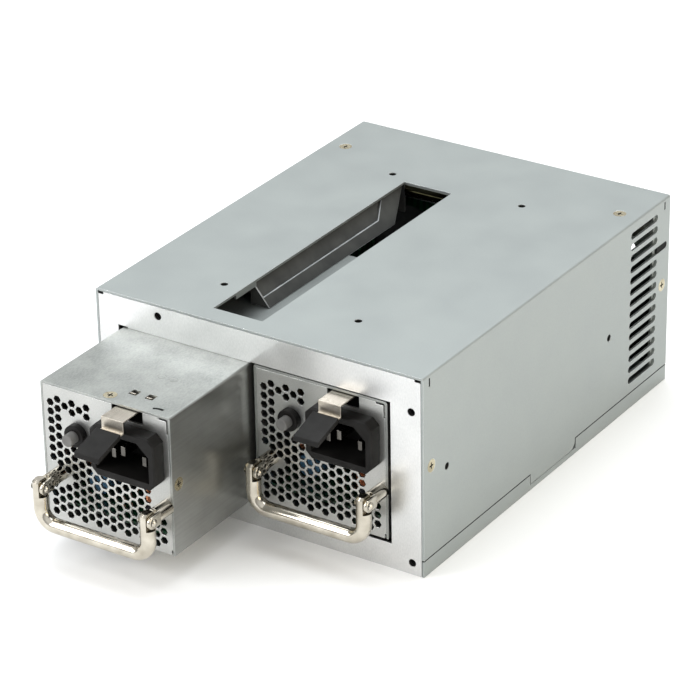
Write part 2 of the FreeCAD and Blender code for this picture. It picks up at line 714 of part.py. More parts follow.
def bay_deck():
    """The sheet over the bays, open under the rear of the slot, with two brackets."""
    outer = INNER_HALF - SEAM
    deck = box(-outer + SHEET, outer - SHEET, SHEET, DECK_END_Y, DECK_UNDERSIDE, DECK_TOP)
    window = box(DECK_WINDOW_LEFT_X, DECK_WINDOW_RIGHT_X, DECK_WINDOW_START_Y, DECK_WINDOW_END_Y,
                 DECK_UNDERSIDE, DECK_TOP)
    half = DECK_BRACKET_WIDTH / 2
    pieces = []
    for side in (-1, 1):
        centre = side * TOP_SCREW_X
        wall = centre - side * half
        y0 = TOP_SCREW_Y - half
        y1 = TOP_SCREW_Y + half
        pieces.append(box(centre - half, centre + half, DECK_END_Y - half, y1, DECK_UNDERSIDE, DECK_TOP))
        pieces.append(box(min(wall, wall + side * SHEET), max(wall, wall + side * SHEET), y0, y1,
                          DECK_UNDERSIDE, COVER_UNDERSIDE))
        pieces.append(box(centre - half, centre + half, y0, y1,
                          COVER_UNDERSIDE - SHEET, COVER_UNDERSIDE))
    bores = [screw_bore(s, i) for s, i in top_screw_places()]
    return deck.fuse(pieces).cut([window] + bores).removeSplitter()


def duct_liner():
    """The black leaning sheet beside the slot: pocketed, and closed in front."""
    low = DECK_TOP
    top = COVER_UNDERSIDE - SEAM
    foot_x = SLOT_LEFT_X + LINER_FOOT_OUT

    def leaning(outline, thickness):
        """A solid from (y, z) corners on the leaning face, as thick as told along X."""
        corners = [vector(foot_x - LINER_LEAN * (z - low), y, z) for y, z in outline]
        return prism(corners, vector(-thickness, 0, 0))

    def pocket(grow):
        floor = low + POCKET_HEIGHT - grow
        end = POCKET_END_Y + grow
        return [(LINER_START_Y, floor), (end, floor), (end + POCKET_END_LEAN * (top - floor), top),
                (LINER_START_Y, top)]

    sheet = leaning([(LINER_START_Y, low), (LINER_FOOT_END_Y, low),
                     (LINER_FOOT_END_Y + LINER_REAR_LEAN * (top - low), top), (LINER_START_Y, top)],
                    LINER_SHEET)
    backed = leaning(pocket(LINER_SHEET), POCKET_DEPTH + LINER_SHEET)
    closed = leaning([(LINER_START_Y, low), (LINER_START_Y + LINER_SHEET, low),
                      (LINER_START_Y + LINER_SHEET, top), (LINER_START_Y, top)],
                     POCKET_DEPTH + LINER_SHEET)
    front = outline_y([(foot_x, low), (foot_x - LINER_LEAN * (top - low), top),
                       (foot_x - LINER_LEAN * (top - low) - LINER_SHEET, top),
                       (foot_x - LINER_LEAN * (top - low) - LINER_SHEET, low)],
                      LINER_START_Y, LINER_START_Y + LINER_SHEET)
    liner = sheet.fuse(backed).cut(leaning(pocket(0), POCKET_DEPTH))
    return liner.fuse([closed, front]).removeSplitter()


def module_centres():
    return [LEFT_MODULE_X + MODULE_WIDTH / 2, RIGHT_MODULE_X + MODULE_WIDTH / 2]


def backplane_centre():
    return sum(module_centres()) / 2


def standoff_places():
    """Where the backplane's corner standoffs are, as (x, z)."""
    half = BACKPLANE_WIDTH / 2 - STANDOFF_INSET
    centre = backplane_centre()
    places = []
    for x in (centre - half, centre + half):
        for z in (BACKPLANE_LOW_Z + STANDOFF_INSET, BACKPLANE_HIGH_Z - STANDOFF_INSET):
            places.append((x, z))
    return places


def backplane_board():
    """The upright board behind the modules, open in front of each fan's outlet."""
    half = BACKPLANE_WIDTH / 2
    centre = backplane_centre()
    board = box(centre - half, centre + half, BACKPLANE_Y, BACKPLANE_REAR_Y,
                BACKPLANE_LOW_Z, BACKPLANE_HIGH_Z)
    cutters = []
    for x in module_centres():
        start = vector(x, BACKPLANE_Y, MODULE_UNDERSIDE + FAN_Z)
        cutters.append(rod(start, Y_AXIS, BOARD_THICKNESS, FAN_BORE))
    for x, z in standoff_places():
        start = vector(x, BACKPLANE_Y, z)
        cutters.append(rod(start, Y_AXIS, BOARD_THICKNESS, SCREW_RADIUS + SCREW_CLEARANCE))
    return board.cut(cutters)


def backplane_sockets():
    """The two card-edge sockets that the modules' tongues plug into."""
    sockets = []
    for x in module_centres():
        body = box(x - SOCKET_WIDTH / 2, x + SOCKET_WIDTH / 2, SOCKET_FACE_Y, BACKPLANE_Y,
                   TONGUE_Z - SOCKET_HEIGHT / 2, TONGUE_Z + SOCKET_HEIGHT / 2)
        half_x = TONGUE_WIDTH / 2 + TONGUE_FIT
        half_z = BOARD_THICKNESS / 2 + TONGUE_FIT
        slot = box(x - half_x, x + half_x, SOCKET_FACE_Y, BACKPLANE_Y - SOCKET_FLOOR,
                   TONGUE_Z - half_z, TONGUE_Z + half_z)
        sockets.append(body.cut(slot))
    return Part.makeCompound(sockets)


def backplane_standoffs():
    posts = []
    length = REAR_INNER_Y - BACKPLANE_REAR_Y
    for x, z in standoff_places():
        start = vector(x, BACKPLANE_REAR_Y, z)
        post = rod(start, Y_AXIS, length, STANDOFF_RADIUS)
        bore = rod(start, Y_AXIS, STANDOFF_SCREW_REACH, SCREW_RADIUS + SCREW_CLEARANCE)
        posts.append(post.cut(bore))
    return Part.makeCompound(posts)


def backplane_screws():
    screws = []
    for x, z in standoff_places():
        head_height = SCREW_RADIUS
        start = vector(x, BACKPLANE_Y - head_height, z)
        head = rod(start, Y_AXIS, head_height, SCREW_HEAD_RADIUS)
        reach = head_height + BOARD_THICKNESS + STANDOFF_SCREW_REACH - SHEET
        screws.append(head.fuse(rod(start, Y_AXIS, reach, SCREW_RADIUS)).removeSplitter())
    return Part.makeCompound(screws)


def output_headers():
    """The header blocks on the backplane's rear face, where the output leads start."""
    blocks = []
    centre = backplane_centre()
    for i in range(HEADER_COUNT):
        x = centre + (i - (HEADER_COUNT - 1) / 2) * HEADER_PITCH
        block = box(x - HEADER_WIDTH / 2, x + HEADER_WIDTH / 2, BACKPLANE_REAR_Y,
                    BACKPLANE_REAR_Y + HEADER_DEPTH, HEADER_Z - HEADER_HEIGHT / 2,
                    HEADER_Z + HEADER_HEIGHT / 2)
        wall = SHEET
        pocket = box(x - HEADER_WIDTH / 2 + wall, x + HEADER_WIDTH / 2 - wall,
                     BACKPLANE_REAR_Y + 2 * wall, BACKPLANE_REAR_Y + HEADER_DEPTH,
                     HEADER_Z - HEADER_HEIGHT / 2 + wall, HEADER_Z + HEADER_HEIGHT / 2 - wall)
        blocks.append(block.cut(pocket))
    return Part.makeCompound(blocks)


def output_capacitors():
    cans = []
    centre = backplane_centre()
    for i in (-1, 1):
        x = centre + i * SMALL_CAN_PITCH
        start = vector(x, BACKPLANE_REAR_Y, SMALL_CAN_Z)
        cans.append(rod(start, Y_AXIS, SMALL_CAN_LENGTH, SMALL_CAN_RADIUS))
    return Part.makeCompound(cans)


def alarm_buzzer():
    centre = backplane_centre()
    start = vector(centre, BACKPLANE_Y - BUZZER_HEIGHT, BUZZER_Z)
    case = rod(start, Y_AXIS, BUZZER_HEIGHT, BUZZER_RADIUS)
    mouth = rod(start, Y_AXIS, 2 * SHEET, SHEET)
    return case.cut(mouth)


def housing_screws():
    screws = [screw(s, i, SHEET) for s, i in side_screw_places() + top_screw_places()]
    return Part.makeCompound(screws)


# ---- Module pieces, drawn from the module's lower left front corner ----
def handle_posts_x():
    return (HANDLE_LEFT_X, HANDLE_LEFT_X + HANDLE_SPAN)


def module_side_screws():
    middle = MODULE_HEIGHT / 2
    inset = PANEL_FLANGE / 2 - SHEET / 2
    return [(vector(0, inset, middle), X_AXIS), (vector(MODULE_WIDTH, inset, middle), X_AXIS * -1)]


def module_top_screw():
    inset = PANEL_FLANGE / 2 - SHEET / 2
    return (vector(MODULE_WIDTH / 2, inset, MODULE_HEIGHT), Z_AXIS * -1)


def module_tray():
    """The module's floor and rear wall, with bosses for the board."""
    s = MODULE_SHEET
    start = s + PANEL_SEAM
    floor = box(PANEL_LEFT, PANEL_RIGHT, start, MODULE_DEPTH, 0, s)
    left = box(PANEL_LEFT, PANEL_LEFT + s, PANEL_FLANGE + s, MODULE_DEPTH, 0, TRAY_LIP)
    right = box(PANEL_RIGHT - s, PANEL_RIGHT, PANEL_FLANGE + s, MODULE_DEPTH, 0, TRAY_LIP)
    rear = box(PANEL_LEFT, PANEL_RIGHT, MODULE_DEPTH - s, MODULE_DEPTH, 0, PANEL_TOP)
    bosses = []
    for x, y in board_boss_places():
        bosses.append(rod(vector(x, y, s), Z_AXIS, STANDOFF_HEIGHT, BOSS_RADIUS))
    outlet = rod(vector(FAN_X, MODULE_DEPTH - s, FAN_Z), Y_AXIS, s, FAN_BORE)
    half = TONGUE_WIDTH / 2 + s
    tongue = box(FAN_X - half, FAN_X + half, MODULE_DEPTH - s, MODULE_DEPTH,
                 BOARD_LOW - s, BOARD_TOP + s)
    tray = floor.fuse([left, right, rear] + bosses).cut([outlet, tongue])
    return tray.removeSplitter()


def board_boss_places():
    places = []
    inset = BOARD_MARGIN + 2 * BOSS_RADIUS
    for x in (inset, MODULE_WIDTH - inset):
        for y in (BOSS_FIRST_Y, MODULE_DEPTH - BOSS_LAST_INSET):
            places.append((x, y))
    return places


def keep_hexagon(x, z):
    """Which places of the perforation are open, clear of everything on the panel."""
    if z > HEX_TOP_LIMIT:
        return False
    across = x - BUTTON_X
    rise = z - BUTTON_Z
    if -BUTTON_BARE_LEFT < across < BUTTON_BARE_RIGHT and -BUTTON_BARE_BELOW < rise < BUTTON_BARE_ABOVE:
        return False
    inlet_left = INLET_X - INLET_WIDTH / 2 - INLET_HEX_MARGIN - HEX_FLATS / 2
    inlet_low = INLET_Z - INLET_HEIGHT / 2 - INLET_HEX_MARGIN - HEX_FLATS / 2
    if x > inlet_left and z > inlet_low:
        return False
    left, right = handle_posts_x()
    if math.hypot(x - left, z - HANDLE_Z) < LEFT_POST_MARGIN:
        return False
    return math.hypot(x - right, z - HANDLE_Z) > RIGHT_POST_MARGIN


def front_panel():
    """The perforated panel with its cut-outs and the flanges the cover screws into."""
    s = MODULE_SHEET
    panel = box(PANEL_LEFT, PANEL_RIGHT, 0, s, 0, PANEL_TOP)
    low = HANDLE_Z + POST_FLANGE_GAP
    left = box(PANEL_LEFT, PANEL_LEFT + s, 0, PANEL_FLANGE, low, PANEL_TOP)
    right = box(PANEL_RIGHT - s, PANEL_RIGHT, 0, PANEL_FLANGE, low, PANEL_TOP)
    notch_left = LATCH_X - LATCH_NOTCH_WIDTH / 2
    top_start = MODULE_WIDTH / 2 - PANEL_FLANGE
    top = box(top_start, notch_left - s, 0, PANEL_FLANGE, PANEL_TOP - s, PANEL_TOP)
    cutters = hexagon_field(HEX_FIRST_X, HEX_FIRST_Z, HEX_PITCH, HEX_FLATS,
                            HEX_COLUMNS, HEX_ROWS, keep_hexagon, 0, s)
    cutters.append(box(notch_left, notch_left + LATCH_NOTCH_WIDTH, 0, s,
                       PANEL_TOP - LATCH_NOTCH_DROP, PANEL_TOP))
    cutters.append(inlet_outline(-INLET_BARREL_MARGIN + INLET_FIT, 0, s))
    cutters.append(rod(vector(BUTTON_X, 0, BUTTON_Z), Y_AXIS, s, BEZEL_BARREL_RADIUS + INLET_FIT))
    for x in handle_posts_x():
        cutters.append(rod(vector(x, 0, HANDLE_Z), Y_AXIS, s, POST_STUD_RADIUS + SCREW_CLEARANCE))
    for surface, inward in module_side_screws() + [module_top_screw()]:
        cutters.append(screw_bore(surface, inward))
    # Bending reliefs: narrow slits at the upper right and lower right corners.
    inner = PANEL_RIGHT - PANEL_RELIEF
    cutters.append(box(PANEL_RIGHT - PANEL_RELIEF_ACROSS, PANEL_RIGHT, 0, s,
                       PANEL_TOP - PANEL_RELIEF, PANEL_TOP))
    cutters.append(box(inner, PANEL_RIGHT, 0, s, PANEL_TOP - PANEL_RELIEF_DOWN, PANEL_TOP))
    cutters.append(box(inner, PANEL_RIGHT, 0, s, 0, 2 * s))
    return panel.fuse([left, right, top]).cut(cutters).removeSplitter()


def tooth_slots():
    half_x = TOOTH_WIDTH / 2 + TOOTH_SLOT_MARGIN
    half_y = TOOTH_LENGTH / 2 + TOOTH_SLOT_MARGIN
    cutters = []
    for x in (LATCH_X - TOOTH_SPREAD / 2, LATCH_X + TOOTH_SPREAD / 2):
        cutters.append(box(x - half_x, x + half_x, TOOTH_Y - half_y, TOOTH_Y + half_y,
                           MODULE_HEIGHT - MODULE_SHEET, MODULE_HEIGHT))
    return cutters


def module_cover():
    """The module's top and sides as one bent sheet, slotted for the latch's teeth."""
    s = MODULE_SHEET
    body = box(0, MODULE_WIDTH, 0, MODULE_DEPTH, 0, MODULE_HEIGHT)
    body = body.makeFillet(BEND_RADIUS, edges_at(body, MODULE_DEPTH / 2, MODULE_HEIGHT))
    body = body.cut(box(s, MODULE_WIDTH - s, 0, MODULE_DEPTH, 0, MODULE_HEIGHT - s))
    cutters = tooth_slots()
    for surface, inward in module_side_screws() + [module_top_screw()]:
        cutters.append(screw_seat(surface, inward, s))
    for x in rivet_places():
        cutters.append(rod(vector(x, LATCH_ROOT_Y + ANCHOR_LENGTH / 2, MODULE_HEIGHT - s), Z_AXIS, s,
                           RIVET_RADIUS + SCREW_CLEARANCE))
    return body.cut(cutters).removeSplitter()


def cover_screws():
    places = module_side_screws() + [module_top_screw()]
    return Part.makeCompound([screw(s, i, MODULE_SHEET) for s, i in places])


def inlet_outline(grow, y0, y1):
    """The inlet's outline with its four cut corners, larger all round by grow."""
    half_x = INLET_WIDTH / 2 + grow
    half_z = INLET_HEIGHT / 2 + grow
    c = INLET_CHAMFER
    corners = [
        (INLET_X - half_x + c, INLET_Z - half_z), (INLET_X + half_x - c, INLET_Z - half_z),
        (INLET_X + half_x, INLET_Z - half_z + c), (INLET_X + half_x, INLET_Z + half_z - c),
        (INLET_X + half_x - c, INLET_Z + half_z), (INLET_X - half_x + c, INLET_Z + half_z),
        (INLET_X - half_x, INLET_Z + half_z - c), (INLET_X - half_x, INLET_Z - half_z + c),
    ]
    return outline_y(corners, y0, y1)


def inlet_cavity(y0, y1):
    """The plug's recess: a block with its two upper corners cut."""
    half_x = CAVITY_WIDTH / 2
    half_z = CAVITY_HEIGHT / 2
    corners = [
        (INLET_X - half_x, INLET_Z - half_z), (INLET_X + half_x, INLET_Z - half_z),
        (INLET_X + half_x, INLET_Z + half_z - CAVITY_CHAMFER_Z),
        (INLET_X + half_x - CAVITY_CHAMFER_X, INLET_Z + half_z),
        (INLET_X - half_x + CAVITY_CHAMFER_X, INLET_Z + half_z),
        (INLET_X - half_x, INLET_Z + half_z - CAVITY_CHAMFER_Z),
    ]
    return outline_y(corners, y0, y1)


def inlet_body():
    """The moulded inlet: a thick frame outside the panel and a barrel through it."""
    frame = inlet_outline(0, -INLET_PROUD, 0)
    frame = frame.makeChamfer(INLET_EDGE, edges_at(frame, -INLET_PROUD))
    barrel = inlet_outline(-INLET_BARREL_MARGIN, 0, INLET_BARREL_DEPTH)
    cavity = inlet_cavity(-INLET_PROUD, CAVITY_DEPTH - INLET_PROUD)
    holes = []
    for x, z, recess in pin_places():
        holes.append(pin_blade(x, z, CAVITY_DEPTH - INLET_PROUD, INLET_BARREL_DEPTH, SCREW_CLEARANCE))
    return frame.fuse(barrel).cut([cavity] + holes).removeSplitter()


def pin_places():
    """Each contact blade's centre and how far its tip is behind the inlet's face."""
    row = INLET_Z - PIN_ROW_DROP
    return [
        (INLET_X - PIN_SPREAD, row, LINE_PIN_RECESS),
        (INLET_X + PIN_SPREAD, row, LINE_PIN_RECESS),
        (INLET_X, INLET_Z + EARTH_PIN_RISE, EARTH_PIN_RECESS),
    ]


def pin_blade(x, z, y0, y1, grow):
    half_x = PIN_WIDTH / 2 + grow
    half_z = PIN_HEIGHT / 2 + grow
    return box(x - half_x, x + half_x, y0, y1, z - half_z, z + half_z)


def inlet_pins():
    blades = []
    for x, z, recess in pin_places():
        blades.append(pin_blade(x, z, recess - INLET_PROUD, INLET_BARREL_DEPTH + PIN_TAIL, 0))
    return Part.makeCompound(blades)


def latch_strip(y0, y1, z0, z1, width):
    return box(LATCH_X - width / 2, LATCH_X + width / 2, y0, y1, z0, z1)


def latch_spring():
    """The steel strip: teeth inside, then out of the notch, down and forward again."""
    t = LATCH_SHEET
    top = LATCH_TOP
    step_low = top - LATCH_STEP_DROP
    flat = latch_strip(-LATCH_REACH, LATCH_ROOT_Y - ANCHOR_GAP, top - t, top, LATCH_WIDTH)
    down = latch_strip(-LATCH_REACH, -LATCH_REACH + t, step_low, top, LATCH_WIDTH)
    ledge = latch_strip(-LATCH_REACH - LATCH_LEDGE, -LATCH_REACH + t, step_low, step_low + t, LATCH_WIDTH)
    teeth = []
    for x in (LATCH_X - TOOTH_SPREAD / 2, LATCH_X + TOOTH_SPREAD / 2):
        half_y = TOOTH_LENGTH / 2
        profile = [(TOOTH_Y - half_y, top - t), (TOOTH_Y + half_y, top - t),
                   (TOOTH_Y - half_y + t, MODULE_HEIGHT + TOOTH_PROUD),
                   (TOOTH_Y - half_y, MODULE_HEIGHT + TOOTH_PROUD)]
        teeth.append(outline_x(profile, x - TOOTH_WIDTH / 2, x + TOOTH_WIDTH / 2))
    return flat.fuse([down, ledge] + teeth).removeSplitter()


def latch_tab():
    """The black thumb tab on the strip's end, sloping down and slightly bowed."""
    root = -LATCH_REACH - LATCH_LEDGE
    top = LATCH_TOP - LATCH_STEP_DROP + LATCH_SHEET
    slope = math.atan2(TAB_SLOPE_DROP, TAB_LENGTH)
    grip = TAB_GRIP
    tip = vector(0, root - TAB_LENGTH, top - TAB_SLOPE_DROP)
    middle = vector(0, root - TAB_LENGTH / 2, top - TAB_SLOPE_DROP / 2 + TAB_BOW)
    start = vector(0, root + grip, top + TAB_THICKNESS / 2)
    drop = vector(0, -math.sin(slope), -math.cos(slope)) * TAB_THICKNESS
    upper = Part.Arc(start, middle, tip).toShape()
    lower = Part.Arc(start + drop, middle + drop, tip + drop).toShape()
    front = Part.makeLine(tip, tip + drop)
    back = Part.makeLine(start + drop, start)
    outline = Part.Wire([upper, front, lower, back])
    tab = Part.Face(outline).extrude(vector(TAB_WIDTH, 0, 0))
    tab.translate(vector(LATCH_X - TAB_WIDTH / 2, 0, 0))
    pocket_z = top - LATCH_SHEET
    pocket = latch_strip(root, root + 2 * grip, pocket_z, top, LATCH_WIDTH)
    return tab.cut(pocket).removeSplitter()


def rivet_places():
    return (LATCH_X - TOOTH_SPREAD / 2 + SHEET, LATCH_X + TOOTH_SPREAD / 2 - SHEET)


def latch_anchor():
    """The strip's fixed root under the cover, held by two flat rivets."""
    y0 = LATCH_ROOT_Y
    pad = latch_strip(y0, y0 + ANCHOR_LENGTH, LATCH_TOP - LATCH_SHEET,
                      MODULE_HEIGHT - MODULE_SHEET, LATCH_WIDTH)
    rivets = []
    for x in rivet_places():
        start = vector(x, y0 + ANCHOR_LENGTH / 2, LATCH_TOP)
        rivets.append(rod(start, Z_AXIS, MODULE_HEIGHT - LATCH_TOP, RIVET_RADIUS))
    return pad.fuse(rivets).removeSplitter()


def button_bezel():
    """The switch body: a black ring outside the panel, a closed barrel inside."""
    centre = vector(BUTTON_X, -BEZEL_PROUD, BUTTON_Z)
    ring = rod(centre, Y_AXIS, BEZEL_PROUD, BEZEL_RADIUS)
    ring = ring.makeFillet(BEZEL_ROUND, edges_at(ring, -BEZEL_PROUD))
    barrel = rod(centre, Y_AXIS, BEZEL_PROUD + BEZEL_BARREL_DEPTH, BEZEL_BARREL_RADIUS)
    neck = rod(centre, Y_AXIS, BEZEL_PROUD + collar_start(), PLUNGER_RADIUS + PLUNGER_FIT)
    chamber_start = vector(BUTTON_X, collar_start() - PLUNGER_FIT, BUTTON_Z)
    chamber = rod(chamber_start, Y_AXIS, BEZEL_BARREL_DEPTH - BUTTON_BASE - collar_start() + PLUNGER_FIT,
                  PLUNGER_RADIUS + PLUNGER_COLLAR + PLUNGER_FIT)
    return ring.fuse(barrel).cut([neck, chamber]).removeSplitter()


def collar_start():
    """How far behind the panel's face the plunger's collar rests."""
    return MODULE_SHEET


def button_plunger():
    """The grey push-button, kept in its barrel by a collar."""
    stem_length = PLUNGER_PROUD + BEZEL_BARREL_DEPTH - BUTTON_BASE - PLUNGER_TRAVEL - PLUNGER_FIT
    start = vector(BUTTON_X, -PLUNGER_PROUD, BUTTON_Z)
    stem = rod(start, Y_AXIS, stem_length, PLUNGER_RADIUS)
    stem = stem.makeFillet(PLUNGER_ROUND, edges_at(stem, -PLUNGER_PROUD))
    collar = rod(vector(BUTTON_X, collar_start(), BUTTON_Z), Y_AXIS, PLUNGER_COLLAR_LENGTH,
                 PLUNGER_RADIUS + PLUNGER_COLLAR)
    return stem.fuse(collar).removeSplitter()


def handle_posts():
    """The two fixed posts: round from the panel, flattened where the bail is pinned."""
    r = HANDLE_ROD / 2
    y = -HANDLE_PIVOT_OUT
    half = HANDLE_TONGUE / 2
    end = r - HANDLE_TONGUE_RELIEF
    posts = []
    for x in handle_posts_x():
        body = rod(vector(x, y + HANDLE_SHOULDER, HANDLE_Z), Y_AXIS, HANDLE_PIVOT_OUT - HANDLE_SHOULDER, r)
        stud = rod(vector(x, 0, HANDLE_Z), Y_AXIS, POST_STUD_LENGTH, POST_STUD_RADIUS)
        swage = rod(vector(x, MODULE_SHEET, HANDLE_Z), Y_AXIS, POST_SWAGE_LENGTH, POST_SWAGE_RADIUS)
        eye = rod(vector(x - half, y, HANDLE_Z), X_AXIS, HANDLE_TONGUE, end)
        tongue = box(x - half, x + half, y, y + HANDLE_SHOULDER, HANDLE_Z - end, HANDLE_Z + end)
        hole = rod(vector(x - half, y, HANDLE_Z), X_AXIS, HANDLE_TONGUE, HANDLE_PIN_RADIUS)
        posts.append(body.fuse([stud, swage, eye, tongue]).cut(hole).removeSplitter())
    return Part.makeCompound(posts)


def handle_bail():
    """The bent rod that the hand pulls, each end slotted around its post's tongue."""
    r = HANDLE_ROD / 2
    left, right = handle_posts_x()
    y = -HANDLE_PIVOT_OUT
    low = HANDLE_Z - HANDLE_DROP
    bend = HANDLE_BEND
    top = HANDLE_Z + HANDLE_LEG_ABOVE
    pieces = []
    cutters = []
    for x, centre_x in ((left, left + bend), (right, right - bend)):
        leg = rod(vector(x, y, low + bend), Z_AXIS, top - low - bend, r)
        pieces.append(leg.makeChamfer(HANDLE_LEG_BEVEL, edges_at(leg, z=top)))
        torus = Part.makeTorus(bend, r, vector(centre_x, y, low + bend), Y_AXIS)
        outer = x + r * (x - centre_x) / bend
        x0, x1 = sorted((outer, centre_x))
        pieces.append(torus.common(box(x0, x1, y - r, y + r, low - r, low + bend)))
        half = HANDLE_TONGUE / 2 + HANDLE_SIDE_CLEARANCE
        cutters.append(box(x - half, x + half, y - r, y + r, HANDLE_Z - HANDLE_SLOT_BELOW, top))
        cutters.append(rod(vector(x - r, y, HANDLE_Z), X_AXIS, HANDLE_ROD,
                           HANDLE_PIN_RADIUS + HANDLE_PIN_FIT))
    bar = rod(vector(left + bend, y, low), X_AXIS, HANDLE_SPAN - 2 * bend, r)
    return bar.fuse(pieces).cut(cutters).removeSplitter()


def handle_pins():
    """The rivets that pin the bail to its posts, with a domed head at each end."""
    reach = HANDLE_ROD / 2 + HANDLE_PIN_HEAD_GAP
    pins = []
    for x in handle_posts_x():
        start = vector(x - reach, -HANDLE_PIVOT_OUT, HANDLE_Z)
        pin = rod(start, X_AXIS, 2 * reach, HANDLE_PIN_RADIUS)
        heads = []
        for side in (-1, 1):
            base = vector(x + side * reach, -HANDLE_PIVOT_OUT, HANDLE_Z)
            heads.append(Part.makeCone(HANDLE_PIN_HEAD, HANDLE_PIN_HEAD_FACE, HANDLE_PIN_HEAD_HEIGHT,
                                       base, X_AXIS * side))
        pins.append(pin.fuse(heads).removeSplitter())
    return Part.makeCompound(pins)


def fan_frame():
    """The square fan housing with its bore, corner holes and four rear struts."""
    half = FAN_SIZE / 2
    y0 = FAN_END - FAN_DEPTH
    frame = rounded_block(FAN_X - half, FAN_X + half, y0, FAN_END, FAN_Z - half, FAN_Z + half,
                          FAN_CORNER)
    bore = rod(vector(FAN_X, y0, FAN_Z), Y_AXIS, FAN_DEPTH, FAN_BORE)
    holes = []
    inset = half - FAN_SCREW_INSET
    for sx in (-1, 1):
        for sz in (-1, 1):
            start = vector(FAN_X + sx * inset, y0, FAN_Z + sz * inset)
            holes.append(rod(start, Y_AXIS, FAN_DEPTH, FAN_SCREW_HOLE))
    strut_y = FAN_END - FAN_STRUT_DEPTH
    reach = FAN_BORE + SHEET
    w = FAN_STRUT_WIDTH / 2
    hub_start = vector(FAN_X, strut_y, FAN_Z)
    struts = [
        box(FAN_X - reach, FAN_X + reach, strut_y, FAN_END, FAN_Z - w, FAN_Z + w),
        box(FAN_X - w, FAN_X + w, strut_y, FAN_END, FAN_Z - reach, FAN_Z + reach),
        rod(hub_start, Y_AXIS, FAN_STRUT_DEPTH, FAN_HUB_RADIUS),
    ]
    bearing = rod(hub_start, Y_AXIS, FAN_STRUT_DEPTH - SHEET, FAN_SHAFT_RADIUS + FAN_SHAFT_FIT)
    return frame.cut([bore] + holes).fuse(struts).cut(bearing).removeSplitter()


def fan_rotor():
    """The hub, its shaft and seven pitched blades."""
    y0 = FAN_END - FAN_DEPTH + FAN_FACE_GAP
    hub = rod(vector(FAN_X, y0, FAN_Z), Y_AXIS, FAN_HUB_DEPTH, FAN_HUB_RADIUS)
    reach = FAN_DEPTH - FAN_FACE_GAP - SHEET - SEAM
    shaft = rod(vector(FAN_X, y0, FAN_Z), Y_AXIS, reach, FAN_SHAFT_RADIUS)
    tip = FAN_BORE - FAN_TIP_CLEARANCE
    sweep = rod(vector(FAN_X, y0, FAN_Z), Y_AXIS, FAN_HUB_DEPTH, tip)
    blades = []
    for i in range(FAN_BLADES):
        half_t = FAN_BLADE_THICKNESS / 2
        chord = FAN_HUB_DEPTH / math.cos(math.radians(FAN_BLADE_PITCH))
        blade = box(-half_t, half_t, -chord, chord, FAN_HUB_RADIUS - SHEET, tip)
        blade.rotate(vector(0, 0, 0), Z_AXIS, FAN_BLADE_PITCH)
        blade.rotate(vector(0, 0, 0), Y_AXIS, 360.0 * i / FAN_BLADES)
        blade.translate(vector(FAN_X, y0 + FAN_HUB_DEPTH / 2, FAN_Z))
        blades.append(blade.common(sweep))
    return hub.fuse([shaft] + blades).removeSplitter()


def circuit_board():
    """The module's board, with the gold-fingered tongue out of the rear."""
    board = box(BOARD_MARGIN, MODULE_WIDTH - BOARD_MARGIN, BOARD_START, FAN_END - SHEET,
                BOARD_LOW, BOARD_TOP)
    tongue = box(FAN_X - TONGUE_WIDTH / 2, FAN_X + TONGUE_WIDTH / 2, FAN_END - 2 * SHEET,
                 MODULE_DEPTH + TONGUE_LENGTH, BOARD_LOW, BOARD_TOP)
    return board.fuse(tongue).removeSplitter()


def heat_sinks():
    """Two finned aluminium extrusions standing on the board."""
    sinks = []
    y0 = SINK_START
    y1 = FAN_END - FAN_DEPTH - SINK_FAN_GAP
    low = BOARD_TOP
    for side in (-1, 1):
        edge = SINK_MARGIN + BOARD_MARGIN if side < 0 else MODULE_WIDTH - SINK_MARGIN - BOARD_MARGIN
        wall = box(min(edge, edge - side * SINK_BASE), max(edge, edge - side * SINK_BASE), y0, y1,
                   low, low + SINK_HEIGHT)
        fins = []
        for i in range(SINK_FINS):
            z = low + SINK_HEIGHT - SINK_FIN_THICKNESS - i * SINK_FIN_PITCH * 2
            inner = edge - side * (SINK_BASE + SINK_FIN_PITCH * 2)
            fins.append(box(min(edge, inner), max(edge, inner), y0, y1, z, z + SINK_FIN_THICKNESS))
        sinks.append(wall.fuse(fins).removeSplitter())
    return Part.makeCompound(sinks)


def bulk_capacitor():
    start = vector(CAN_X, CAN_START, BOARD_TOP + CAN_RADIUS)
    can = rod(start, Y_AXIS, CAN_LENGTH, CAN_RADIUS)
    return can.makeFillet(CAN_ROUND, edges_at(can, CAN_START))


def transformer():
    half = TRANSFORMER_WIDTH / 2
    core = box(FAN_X - half, FAN_X + half, TRANSFORMER_START, TRANSFORMER_START + TRANSFORMER_LENGTH,
               BOARD_TOP, BOARD_TOP + TRANSFORMER_HEIGHT)
    inset = TRANSFORMER_LIMB
    window = box(FAN_X - half + inset, FAN_X + half - inset, TRANSFORMER_START,
                 TRANSFORMER_START + TRANSFORMER_LENGTH, BOARD_TOP + inset,
                 BOARD_TOP + TRANSFORMER_HEIGHT - inset)
    bobbin = box(FAN_X - half + inset, FAN_X + half - inset, TRANSFORMER_START - BOBBIN_REACH,
                 TRANSFORMER_START + TRANSFORMER_LENGTH + BOBBIN_REACH, BOARD_TOP + inset,
                 BOARD_TOP + TRANSFORMER_HEIGHT - inset)
    return core.cut(window).fuse(bobbin).removeSplitter()


def line_filter():
    """The wire-wound choke standing on the board below the inlet."""
    return rod(vector(COIL_X, COIL_Y, BOARD_TOP), Z_AXIS, COIL_HEIGHT, COIL_RADIUS)


